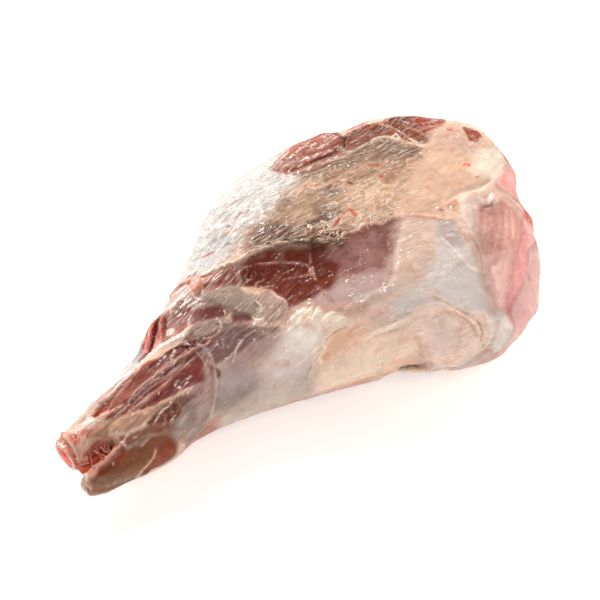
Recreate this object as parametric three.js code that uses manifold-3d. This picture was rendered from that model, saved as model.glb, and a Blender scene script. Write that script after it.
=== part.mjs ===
// A raw leg of lamb, lying on its inner side with the outer side up.
// Millimetres. X runs from the sawn shank (-X) to the rump (+X), Y is across the leg, Z is up,
// and the origin is under the middle of the leg, on the surface that it rests on.
// The flesh is one implicit surface: a tapering trunk, the lobes and strands of muscle blended
// onto it, and the furrows between them blended out of it. The surface is then meshed on a grid
// that tapers with the leg, so the thin shank has small faces and the thigh has large ones.
import * as THREE from "three";
import { mergeVertices } from "three/addons/utils/BufferGeometryUtils.js";
import Module from "manifold-3d";

const wasm = await Module();
wasm.setup();

// ---- Driving dimensions ----
const SAWN_FACE = -175.5; // the shank bone is sawn off here
const SHIN_BACK = 2.5; // how far the flesh around the bone stands back from the sawn face
const HEEL_CUT = -177; // the heel lobe is cut off here
const FIT_GAP = 0.3; // between the flesh and what runs through it
const SECTION_POWER = 2.25; // 2 is an ellipse, more is squarer
const DOME_POWER = 3.3; // how bluntly the rump rounds off
const DOME_START = 70;
const DOME_END = 177;
const RUMP_SKEW = 0.2; // how far the rump's far side leads its near side
const SHANK_START = -133; // the trunk ends here, and the two lobes of the shank go on
const SHANK_DOME = 14;

// Cross-sections of the trunk: x along the leg, side and mid the centre in Y and Z, wide and deep
// the half sizes.
const SECTIONS = [
  { x: -180, side: -16.8, wide: 17.0, mid: 26.5, deep: 15.0 }, // hock
  { x: -160, side: -13.7, wide: 23.3, mid: 27.0, deep: 18.5 },
  { x: -130, side: -10.7, wide: 27.7, mid: 27.5, deep: 22.0 }, // middle of the shank
  { x: -100, side: -2.6, wide: 34.6, mid: 29.5, deep: 25.5 },
  { x: -70, side: 3.6, wide: 46.0, mid: 31.5, deep: 29.5 }, // stifle joint
  { x: -35, side: 10.3, wide: 64.1, mid: 35.0, deep: 35.0 },
  { x: 5, side: 17.0, wide: 83.8, mid: 38.5, deep: 41.0 },
  { x: 50, side: 8.1, wide: 98.2, mid: 40.5, deep: 45.0 }, // thickest of the thigh
  { x: 95, side: -1.8, wide: 98.8, mid: 41.0, deep: 46.0 },
  { x: 140, side: -2.0, wide: 81.9, mid: 41.0, deep: 44.0 },
  { x: 180, side: 20.2, wide: 60.0, mid: 40.0, deep: 38.0 }, // rump
];

// Muscles that swell out of the trunk: centre, half sizes, turn about Z in degrees, and how softly
// they blend into their neighbours.
const MUSCLES = [
  { name: "quadriceps", at: [2, 54, 40], half: [40, 33, 32], turn: 40, blend: 12 },
  { name: "kneecap ligament", at: [-53, 14, 55], half: [21, 12, 14], turn: -57, blend: 6 },
  { name: "cut shin muscle", at: [-86, 30, 34], half: [22, 9, 17], turn: 32, blend: 4 },
  { name: "front of the flank", at: [58, 83, 53], half: [38, 15, 20], turn: 2, blend: 5 },
  { name: "back of the flank", at: [122, 66, 55], half: [36, 17, 20], turn: -26, blend: 5 },
  { name: "silverside", at: [4, -36, 42], half: [54, 22, 25], turn: -20, blend: 16 },
  { name: "tip of the rump", at: [139, -18, 60], half: [17, 19, 17], turn: -40, blend: 4 },
  { name: "cut rump steak", at: [106, -49, 50], half: [32, 30, 31], turn: -34, blend: 5 },
  { name: "lower rump steak", at: [96, -76, 40], half: [31, 21, 27], turn: 25, blend: 4 },
];

// Strands and lobes: points on the middle line with a radius each, and how softly they blend.
// stretch is their depth over their width, and a furrow with a lean has its top further over to -Y.
const STRANDS = [
  {
    name: "shin",
    stretch: 1.3, blend: 7,
    line: [[-170, -5, 27, 11], [-156, -3, 27.5, 12.4], [-140, 0.5, 28.5, 14.6], [-112, 4, 31, 18]],
  },
  {
    name: "heel lobe",
    stretch: 1.3, blend: 5,
    line: [
      [-174.5, -28.5, 25, 6.2], [-165, -27.5, 25, 9.2], [-148, -25.8, 26, 12], [-122, -23.5, 28, 15.4],
    ],
  },
  {
    name: "front tendon",
    stretch: 1, blend: 2.5,
    line: [
      [-164, 2.5, 36, 2.6], [-145, 8, 38, 3.4], [-122, 10, 43, 4.4], [-104, 11, 48.5, 5.2],
      [-76, 10, 55, 5.6],
    ],
  },
  {
    name: "shin muscle",
    stretch: 1, blend: 2.5,
    line: [[-152, -1, 42, 3.4], [-130, 4, 44, 4.4], [-107, 4, 49.5, 5.2], [-88, 3, 53, 5]],
  },
  {
    name: "pale tendon",
    stretch: 1, blend: 2,
    line: [[-138, -10, 45, 2.8], [-128, -8, 47.5, 3.4], [-107, -4.5, 51.5, 3.6], [-84, -5, 55.5, 3.4]],
  },
  {
    name: "calf strand",
    stretch: 1, blend: 2,
    line: [[-132, -14.2, 46.4, 3.2], [-119, -13, 49, 4], [-106, -13, 51, 3.6]],
  },
  {
    name: "heel cord",
    stretch: 1, blend: 3,
    line: [
      [-147, -17, 41, 4.4], [-130, -19, 46, 5], [-114, -21, 47.5, 5.5], [-94, -24, 48, 4],
      [-82, -25, 48, 2],
    ],
  },
  {
    name: "seam of fat on the rump",
    stretch: 1, blend: 7,
    line: [[108, -18, 78, 5], [95, -33, 79, 7], [88, -52, 76, 8], [80, -72, 67, 8], [73, -90, 54, 6]],
  },
  {
    name: "flap of fat",
    stretch: 1, blend: 7,
    line: [[6, -64, 38, 4], [18, -69.5, 34, 6], [31, -76.5, 29, 6], [43, -81.5, 24, 4]],
  },
  {
    name: "upper edge of the fell",
    stretch: 1, blend: 8,
    line: [[-66, 30, 52, 6], [-46, 29, 59, 8], [-24, 24, 65.5, 9], [0, 16, 70.5, 9], [24, 5, 75, 8]],
  },
];

// Furrows: as the strands, but cut out of the surface.
const FURROWS = [
  {
    name: "notch above the heel",
    stretch: 7, lean: 0.4, blend: 3,
    line: [[-186, -20.5, 28, 3], [-167, -19.5, 29, 3], [-152, -17.5, 33, 2.6]],
  },
  {
    name: "under the shin muscle",
    stretch: 1, blend: 3,
    line: [[-138, -4, 51, 2.4], [-124, -2, 53.5, 3], [-107, 0, 57.5, 3], [-90, -1, 60.5, 2]],
  },
  {
    name: "above the heel cord",
    stretch: 1, blend: 3,
    line: [[-136, -15, 53, 2], [-124, -15.6, 54.5, 2], [-110, -18, 55.5, 2]],
  },
  {
    name: "beside the shin muscle",
    stretch: 1, blend: 5,
    line: [[-112, 24, 47, 4], [-98, 24, 54, 5], [-84, 24, 59.5, 5], [-72, 24, 63, 4]],
  },
  {
    name: "lens of bare lean",
    stretch: 1, blend: 12,
    line: [[-40, 8, 84, 11], [-16, -6, 92, 14], [16, -18, 97, 14], [46, -26, 100, 13]],
  },
  {
    name: "between the flank muscles",
    stretch: 1, blend: 8,
    line: [[98, 106, 60, 8], [92, 82, 82, 7], [86, 62, 91, 6]],
  },
  {
    name: "under the fell",
    stretch: 1, blend: 8,
    line: [[22, 74, 84, 7], [46, 66, 88, 8], [72, 62, 90, 8], [98, 50, 93, 8]],
  },
  {
    name: "hollow of the silverside",
    stretch: 1, blend: 10,
    line: [[-34, -62, 72, 12], [-10, -66, 76, 14], [14, -76, 76, 12]],
  },
  {
    name: "above the flap",
    stretch: 1, blend: 8,
    line: [[6, -84, 52, 6], [20, -91, 48, 8], [34, -98, 44, 6]],
  },
  {
    name: "rump seam",
    stretch: 1, blend: 3,
    line: [[136, -42, 82, 2.5], [139, -49, 72, 3], [146, -52, 52, 3.4], [150, -48, 30, 3]],
  },
  {
    name: "lower rump seam",
    stretch: 1, blend: 3,
    line: [[98, -88, 78, 2.5], [119, -82, 62, 3], [131, -79, 46, 3.4], [136, -76, 26, 3]],
  },
  {
    name: "underside seam",
    stretch: 1, blend: 8,
    line: [[-60, 34, -5, 8], [-10, 58, -7, 12], [50, 74, -6, 13], [110, 66, -6, 12]],
  },
];

// The bone: it shows at the sawn shank and runs up the middle of the shank to the stifle.
const BONE = {
  start: [SAWN_FACE, -5, 27],
  end: [-66, 10, 34],
  ovality: 1.14, // depth over width
  flare: 9.1, // radius at the sawn face
  waist: 7.2,
  knuckle: 10,
  wall: 2.1,
};
// The heel cord's cut end shows in the heel lobe and runs up inside it.
const HEEL_TENDON = {
  start: [HEEL_CUT - 0.4, -28, 26],
  end: [-130, -25, 28],
  ovality: 1.85,
  wide: 2.6,
};
const MARROW_RECESS = 0.6;

// Grid of the mesh.
const GRID = { along: 72, across: 30, up: 19, margin: 9, spread: 1.2, finest: 3.3, reach: 188 };

// ---- Fields: negative inside, roughly in millimetres ----
const sectionAt = new THREE.CubicInterpolant(
  SECTIONS.map((s) => s.x),
  SECTIONS.flatMap((s) => [s.side, s.wide, s.mid, s.deep]),
  4,
);

function section(x) {
  const inRange = THREE.MathUtils.clamp(x, SECTIONS[0].x, SECTIONS.at(-1).x);
  const [side, wide, mid, deep] = sectionAt.evaluate(inRange);
  return { side, wide, mid, deep };
}

function smoothMin(a, b, blend) {
  const h = Math.max(blend - Math.abs(a - b), 0) / blend;
  return Math.min(a, b) - (h * h * blend) / 4;
}

const smoothMax = (a, b, blend) => -smoothMin(-a, -b, blend);

// The trunk's sections lean over towards the rump, so the point's station is found in two steps.
function trunk(x, y, z) {
  let station = x;
  for (let pass = 0; pass < 2; pass++) {
    const lean = THREE.MathUtils.smoothstep(station, 0, 150) * RUMP_SKEW;
    station = x - lean * (y - section(station).side);
  }
  const s = section(station);
  const round = Math.pow(
    Math.pow(Math.abs(y - s.side) / s.wide, SECTION_POWER) +
      Math.pow(Math.abs(z - s.mid) / s.deep, SECTION_POWER),
    1 / SECTION_POWER,
  );
  const rump = Math.max(0, (station - DOME_START) / (DOME_END - DOME_START));
  const shank = Math.max(0, (SHANK_START - station) / SHANK_DOME);
  const ends = Math.pow(rump, DOME_POWER) + Math.pow(shank, DOME_POWER);
  return (Math.pow(Math.pow(round, DOME_POWER) + ends, 1 / DOME_POWER) - 1) * Math.min(s.wide, s.deep);
}

function ellipsoid({ at, half, turn }, x, y, z) {
  const a = THREE.MathUtils.degToRad(turn);
  const dx = x - at[0];
  const dy = y - at[1];
  const p = [dx * Math.cos(a) + dy * Math.sin(a), -dx * Math.sin(a) + dy * Math.cos(a), z - at[2]];
  const k0 = Math.hypot(p[0] / half[0], p[1] / half[1], p[2] / half[2]);
  const k1 = Math.hypot(p[0] / half[0] ** 2, p[1] / half[1] ** 2, p[2] / half[2] ** 2);
  return k1 < 1e-9 ? -Math.min(...half) : (k0 * (k0 - 1)) / k1;
}

// Distance to a chain of tapering rods.
function rodChain(line, stretch, x, y, z) {
  let nearest = Infinity;
  for (let i = 1; i < line.length; i++) {
    const [ax, ay, az, ar] = line[i - 1];
    const [bx, by, bz, br] = line[i];
    const d = [bx - ax, by - ay, (bz - az) / stretch];
    const p = [x - ax, y - ay, (z - az) / stretch];
    const t = THREE.MathUtils.clamp(
      (p[0] * d[0] + p[1] * d[1] + p[2] * d[2]) / (d[0] ** 2 + d[1] ** 2 + d[2] ** 2),
      0,
      1,
    );
    const reach = Math.hypot(p[0] - d[0] * t, p[1] - d[1] * t, p[2] - d[2] * t);
    nearest = Math.min(nearest, reach - THREE.MathUtils.lerp(ar, br, t));
  }
  return nearest;
}

function flesh(x, y, z) {
  let f = trunk(x, y, z);
  for (const muscle of MUSCLES) f = smoothMin(f, ellipsoid(muscle, x, y, z), muscle.blend);
  for (const { line, stretch, blend } of STRANDS) f = smoothMin(f, rodChain(line, stretch, x, y, z), blend);
  for (const { line, stretch, lean = 0, blend } of FURROWS) {
    f = smoothMax(f, -rodChain(line, stretch, x, y + lean * (z - 30), z), blend);
  }
  return smoothMax(f, HEEL_CUT - x, 1);
}

// ---- Meshing ----
// Grid coordinates to millimetres: the slices are close together at the shank, and each is as
// wide and deep as the leg is there.
function gridPoint(i, j, k) {
  const run = i / GRID.along;
  const even = (2 * GRID.reach) / GRID.along;
  const fine = GRID.finest / even;
  const x = -GRID.reach + 2 * GRID.reach * (fine * run + (1 - fine) * run * run);
  const s = section(x);
  const wide = Math.max(s.wide, 22) * GRID.spread + GRID.margin;
  const deep = Math.max(s.deep, 20) + GRID.margin;
  return [x, s.side + wide * ((2 * j) / GRID.across - 1), s.mid + deep * ((2 * k) / GRID.up - 1)];
}

// Moves a point onto the surface along the field's slope.
function settle(point, field) {
  const step = 0.05;
  for (let pass = 0; pass < 3; pass++) {
    const [x, y, z] = point;
    const f = field(x, y, z);
    const slope = [
      (field(x + step, y, z) - field(x - step, y, z)) / (2 * step),
      (field(x, y + step, z) - field(x, y - step, z)) / (2 * step),
      (field(x, y, z + step) - field(x, y, z - step)) / (2 * step),
    ];
    const steep = slope[0] ** 2 + slope[1] ** 2 + slope[2] ** 2;
    const move = THREE.MathUtils.clamp(f / Math.max(steep, 0.05), -1.2, 1.2);
    point = point.map((value, axis) => value - 0.8 * move * slope[axis]);
  }
  return point;
}

// Surface nets: one vertex in each grid cell that the surface passes through, and one quad
// across each grid edge that it crosses.
function meshOfField(field) {
  const size = [GRID.along + 1, GRID.across + 1, GRID.up + 1];
  const at = (i, j, k) => (k * size[1] + j) * size[0] + i;
  const values = new Float64Array(size[0] * size[1] * size[2]);
  for (let k = 0; k < size[2]; k++)
    for (let j = 0; j < size[1]; j++)
      for (let i = 0; i < size[0]; i++) values[at(i, j, k)] = field(...gridPoint(i, j, k));

  const corners = [0, 1, 2, 3, 4, 5, 6, 7].map((c) => [c & 1, (c >> 1) & 1, c >> 2]);
  const edges = corners.flatMap((a, m) =>
    corners.flatMap((b, n) => (n > m && a.filter((v, axis) => v !== b[axis]).length === 1 ? [[a, b]] : [])),
  );
  const positions = [];
  const vertexOf = new Map();
  for (let k = 0; k + 1 < size[2]; k++)
    for (let j = 0; j + 1 < size[1]; j++)
      for (let i = 0; i + 1 < size[0]; i++) {
        const sum = [0, 0, 0];
        let crossings = 0;
        for (const [a, b] of edges) {
          const fa = values[at(i + a[0], j + a[1], k + a[2])];
          const fb = values[at(i + b[0], j + b[1], k + b[2])];
          if (fa < 0 === fb < 0) continue;
          const t = fa / (fa - fb);
          for (let axis = 0; axis < 3; axis++) sum[axis] += a[axis] + (b[axis] - a[axis]) * t;
          crossings++;
        }
        if (!crossings) continue;
        vertexOf.set(at(i, j, k), positions.length / 3);
        const cell = [i, j, k].map((v, axis) => v + sum[axis] / crossings);
        positions.push(...settle(gridPoint(...cell), field));
      }

  const index = [];
  const steps = [[1, 0, 0], [0, 1, 0], [0, 0, 1]];
  for (let k = 1; k + 1 < size[2]; k++)
    for (let j = 1; j + 1 < size[1]; j++)
      for (let i = 1; i + 1 < size[0]; i++)
        steps.forEach((step, axis) => {
          const here = values[at(i, j, k)] < 0;
          const next = values[at(i + step[0], j + step[1], k + step[2])] < 0;
          if (here === next) return;
          const u = steps[(axis + 1) % 3];
          const v = steps[(axis + 2) % 3];
          const quad = [[0, 0], [1, 0], [1, 1], [0, 1]].map(([p, q]) =>
            vertexOf.get(at(i - u[0] * p - v[0] * q, j - u[1] * p - v[1] * q, k - u[2] * p - v[2] * q)),
          );
          if (!here) quad.reverse();
          index.push(...splitQuad(positions, quad));
        });
  const geometry = new THREE.BufferGeometry();
  geometry.setAttribute("position", new THREE.Float32BufferAttribute(positions, 3));
  geometry.setIndex(index);
  return geometry;
}

// Two triangles, split along the quad's shorter diagonal.
function splitQuad(positions, [a, b, c, d]) {
  const apart = (p, q) =>
    Math.hypot(...[0, 1, 2].map((axis) => positions[3 * p + axis] - positions[3 * q + axis]));
  return apart(a, c) <= apart(b, d) ? [a, b, c, a, c, d] : [a, b, d, b, c, d];
}

// ---- Solids ----
function solidOf(geometry) {
  const bare = new THREE.BufferGeometry().setAttribute("position", geometry.getAttribute("position"));
  bare.setIndex(geometry.index);
  const merged = mergeVertices(bare, 1e-4);
  return new wasm.Manifold(
    new wasm.Mesh({
      numProp: 3,
      vertProperties: merged.getAttribute("position").array,
      triVerts: new Uint32Array(merged.index.array),
    }),
  );
}

function geometryOf(solid) {
  const mesh = solid.getMesh();
  const geometry = new THREE.BufferGeometry();
  geometry.setAttribute("position", new THREE.BufferAttribute(mesh.vertProperties, 3));
  geometry.setIndex(new THREE.BufferAttribute(mesh.triVerts, 1));
  geometry.computeVertexNormals();
  return geometry;
}

// Turns a shape made along +Y to run from start to end, and gives it an oval section.
function layAlong(geometry, { start, end, ovality }) {
  const from = new THREE.Vector3(...start);
  const way = new THREE.Vector3(...end).sub(from).normalize();
  const turn = new THREE.Quaternion().setFromUnitVectors(new THREE.Vector3(0, 1, 0), way);
  geometry.scale(1, 1, ovality);
  geometry.applyQuaternion(turn);
  geometry.translate(from.x, from.y, from.z);
  return geometry;
}

const lengthOf = ({ start, end }) => new THREE.Vector3(...end).distanceTo(new THREE.Vector3(...start));

// Outer radius of the bone, which flares at both ends.
function boneRadius(along) {
  const run = along / lengthOf(BONE);
  const toHock = Math.exp(-along / 16);
  const toKnee = THREE.MathUtils.smoothstep(run, 0.72, 0.95);
  return BONE.waist + (BONE.flare - BONE.waist) * toHock + (BONE.knuckle - BONE.waist) * toKnee;
}

const KNUCKLE_NOSE = 6;

// The bone's outline, grown all round by grow, from the axis at the knee to the sawn face.
function boneOutline(grow) {
  const length = lengthOf(BONE);
  const rings = 16;
  const outline = [new THREE.Vector2(0, length + grow)];
  for (let ring = 0; ring <= 3; ring++) {
    const angle = (Math.PI / 8) * (ring + 1);
    const out = (BONE.knuckle + grow) * Math.sin(angle);
    outline.push(new THREE.Vector2(out, length - KNUCKLE_NOSE + (KNUCKLE_NOSE + grow) * Math.cos(angle)));
  }
  for (let ring = rings - 2; ring >= 0; ring--) {
    const along = (length * ring) / rings;
    outline.push(new THREE.Vector2(boneRadius(along) + grow, along));
  }
  return outline;
}

const BORE_LENGTH = lengthOf(BONE) - 14;
const BONE_SIDES = 20;

function makeBone() {
  const bore = (along) => boneRadius(along) - BONE.wall;
  const outline = boneOutline(0);
  for (const share of [0, 0.12, 0.3, 0.6, 1]) {
    outline.push(new THREE.Vector2(Math.min(bore(0), bore(BORE_LENGTH * share)), BORE_LENGTH * share));
  }
  outline.push(new THREE.Vector2(0, BORE_LENGTH));
  return layAlong(new THREE.LatheGeometry(outline.reverse(), BONE_SIDES), BONE);
}

function makeMarrow() {
  const radius = (along) => boneRadius(along) - BONE.wall - FIT_GAP;
  const end = BORE_LENGTH - FIT_GAP;
  const outline = [new THREE.Vector2(0, MARROW_RECESS)];
  for (const share of [0, 0.12, 0.3, 0.6, 1]) {
    const along = THREE.MathUtils.lerp(MARROW_RECESS, end, share);
    outline.push(new THREE.Vector2(Math.min(radius(0), radius(BORE_LENGTH * share)), along));
  }
  outline.push(new THREE.Vector2(0, end));
  return layAlong(new THREE.LatheGeometry(outline, BONE_SIDES), BONE);
}

// The heel cord along +Y, grown all round by grow, and lengthened by proud at the cut end.
function tendonRod(grow, proud) {
  const length = lengthOf(HEEL_TENDON);
  const radius = HEEL_TENDON.wide + grow;
  const outline = [
    new THREE.Vector2(0, -proud),
    new THREE.Vector2(radius - 0.4, -proud),
    new THREE.Vector2(radius, 0.8 - proud),
    new THREE.Vector2(radius, length - 2),
    new THREE.Vector2(0, length + grow),
  ];
  return new THREE.LatheGeometry(outline, 12);
}

function makeFlesh() {
  const openEnd = [new THREE.Vector2(boneRadius(0) + FIT_GAP, -12), new THREE.Vector2(0, -12)];
  const boneHole = new THREE.LatheGeometry([...boneOutline(FIT_GAP), ...openEnd].reverse(), BONE_SIDES);
  const tendonHole = layAlong(tendonRod(FIT_GAP, 8), HEEL_TENDON);
  const beneath = new THREE.BoxGeometry(500, 500, 60).translate(0, 0, -30);
  const pastShin = new THREE.BoxGeometry(30, 60, 80).translate(SAWN_FACE + SHIN_BACK - 15, 11, 27);
  return solidOf(meshOfField(flesh))
    .subtract(solidOf(beneath))
    .subtract(solidOf(pastShin))
    .subtract(solidOf(layAlong(boneHole, BONE)))
    .subtract(solidOf(tendonHole));
}

// ---- The part ----
function finish(color, roughness) {
  return new THREE.MeshStandardMaterial({ color, roughness, metalness: 0 });
}

const leg = new THREE.Group();

function addPiece(name, geometry, material) {
  const mesh = new THREE.Mesh(geometry, material);
  mesh.name = name;
  leg.add(mesh);
}

addPiece("leg_meat", geometryOf(makeFlesh()), finish(0xcfa898, 0.35));
addPiece("shank_bone", makeBone(), finish(0xe9cdbb, 0.5));
addPiece("bone_marrow", makeMarrow(), finish(0xd9453f, 0.4));
addPiece("heel_tendon", layAlong(tendonRod(0, 0), HEEL_TENDON), finish(0xe6d3bd, 0.4));

// The origin goes under the middle of the leg.
const middle = new THREE.Box3().setFromObject(leg).getCenter(new THREE.Vector3());
for (const piece of leg.children) piece.geometry.translate(-middle.x, -middle.y, 0);

export default leg;
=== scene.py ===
import math

import bmesh
import bpy
import numpy as np
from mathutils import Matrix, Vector
from mathutils.kdtree import KDTree


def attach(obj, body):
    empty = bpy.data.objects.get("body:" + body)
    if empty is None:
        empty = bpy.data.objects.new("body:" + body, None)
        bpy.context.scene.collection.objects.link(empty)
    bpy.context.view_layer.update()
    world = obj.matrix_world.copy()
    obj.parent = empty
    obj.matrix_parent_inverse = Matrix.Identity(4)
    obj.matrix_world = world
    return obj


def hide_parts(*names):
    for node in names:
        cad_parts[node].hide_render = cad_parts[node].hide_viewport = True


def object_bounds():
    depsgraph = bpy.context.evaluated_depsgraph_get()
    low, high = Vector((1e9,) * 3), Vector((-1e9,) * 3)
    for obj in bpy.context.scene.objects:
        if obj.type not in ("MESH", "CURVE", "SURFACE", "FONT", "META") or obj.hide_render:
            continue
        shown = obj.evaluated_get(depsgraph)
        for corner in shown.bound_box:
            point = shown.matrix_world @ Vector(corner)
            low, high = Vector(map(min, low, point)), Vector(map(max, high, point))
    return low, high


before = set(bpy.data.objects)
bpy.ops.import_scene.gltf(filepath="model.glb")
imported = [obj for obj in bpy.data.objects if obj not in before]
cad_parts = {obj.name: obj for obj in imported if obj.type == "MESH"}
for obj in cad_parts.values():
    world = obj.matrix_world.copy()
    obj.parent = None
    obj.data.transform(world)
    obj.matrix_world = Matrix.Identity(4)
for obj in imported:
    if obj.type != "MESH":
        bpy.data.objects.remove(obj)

cad_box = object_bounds()
MM = 0.001
EVEN = 2.3                 # mm between points of the evened-out leg, half that where it is seen close
FLOOR_GAP = 0.15           # mm from the leg's flat down to the floor, so that the two faces don't meet
rng = np.random.default_rng(7)     # every random draw comes from here, in one fixed order


# ---- camera, light and table

AIM = Vector((-1.33, 1.16, 38)) * MM
AZIMUTH, ELEVATION, DISTANCE = math.radians(-36), math.radians(50), 0.8865
BACK = Vector((
    math.sin(AZIMUTH) * math.cos(ELEVATION),
    -math.cos(AZIMUTH) * math.cos(ELEVATION),
    math.sin(ELEVATION),
))


def linear(code):
    """A colour written as sRGB hex, turned linear."""
    parts = [int(code[i:i + 2], 16) / 255 for i in (1, 3, 5)]
    return tuple(c / 12.92 if c <= 0.04045 else ((c + 0.055) / 1.055) ** 2.4 for c in parts)


def paint(code):
    return (*linear(code), 1.0)


def mixed(code, other, share):
    """Between two colours, from the first at share 0 to the other at share 1."""
    return np.array(linear(code)) * (1 - share) + np.array(linear(other)) * share


def keep(ob):
    bpy.context.scene.collection.objects.link(ob)
    return ob


camera = keep(bpy.data.objects.new("camera", bpy.data.cameras.new("camera")))
camera.data.lens, camera.data.sensor_width = 85, 36
camera.data.clip_start, camera.data.clip_end = 0.05, 20
camera.location = AIM + BACK * DISTANCE
camera.rotation_mode = "QUATERNION"
camera.rotation_quaternion = (-BACK).to_track_quat("-Z", "Y")
bpy.context.scene.camera = camera


def softbox(name, place, size, power, colour):
    """A soft oblong light at a place in metres, turned to face the leg."""
    lamp = bpy.data.lights.new(name, "AREA")
    lamp.shape, lamp.size, lamp.size_y = "RECTANGLE", *size
    lamp.energy, lamp.color = power, linear(colour)
    ob = keep(bpy.data.objects.new(name, lamp))
    ob.location = place
    ob.rotation_mode = "QUATERNION"
    ob.rotation_quaternion = (AIM - Vector(place)).to_track_quat("-Z", "Y")


softbox("window", (0.0, 1.35, 0.55), (0.6, 0.4), 27, "#fffaf4")
softbox("skylight", (-0.1, 0.85, 1.35), (0.3, 0.25), 9, "#fffaf4")
softbox("fill", (-0.2, -1.0, 1.35), (1.2, 0.9), 11, "#fff8f2")
softbox("side", (1.2, -0.25, 0.6), (0.9, 0.7), 7, "#fff8f2")
world = bpy.data.worlds.new("room")
world.use_nodes = True
world.node_tree.nodes["Background"].inputs["Color"].default_value = paint("#f4f1ee")
world.node_tree.nodes["Background"].inputs["Strength"].default_value = 0.33
bpy.context.scene.world = world
bpy.context.scene.view_settings.view_transform = "Standard"


# ---- materials

# settings that many nodes share
TIMES, PLUS, LESS = {"operation": "MULTIPLY"}, {"operation": "ADD"}, {"operation": "SUBTRACT"}
TIMES_PLUS, CLAMPED = {"operation": "MULTIPLY_ADD"}, {"use_clamp": True}
SMOOTH = {"clamp": True, "interpolation_type": "SMOOTHSTEP"}
MIXED, STAINED = {"data_type": "RGBA"}, {"data_type": "RGBA", "blend_type": "MULTIPLY"}


def node(tree, kind, settings=None, inputs=(), **more):
    """Adds one node with its settings. Its inputs, given in order, by socket or by name, are each a
    value, an output to link or a whole node, which stands for its first output in use."""
    made = tree.nodes.new("ShaderNode" + kind if hasattr(bpy.types, "ShaderNode" + kind) else kind)
    for key, value in (settings or {}).items():
        setattr(made, key, value)
    given = dict(inputs if isinstance(inputs, dict) else enumerate(inputs))
    given.update({key.replace("_", " "): value for key, value in more.items()})
    for key, value in given.items():
        if isinstance(value, bpy.types.Node):
            value = next(out for out in value.outputs if out.enabled)
        if isinstance(value, bpy.types.NodeSocket):
            tree.links.new(value, made.inputs[key])
        else:
            made.inputs[key].default_value = value
    return made


def blank(name):
    material = bpy.data.materials.new(name)
    material.use_nodes = True
    material.node_tree.nodes.clear()
    return material, material.node_tree


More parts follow.
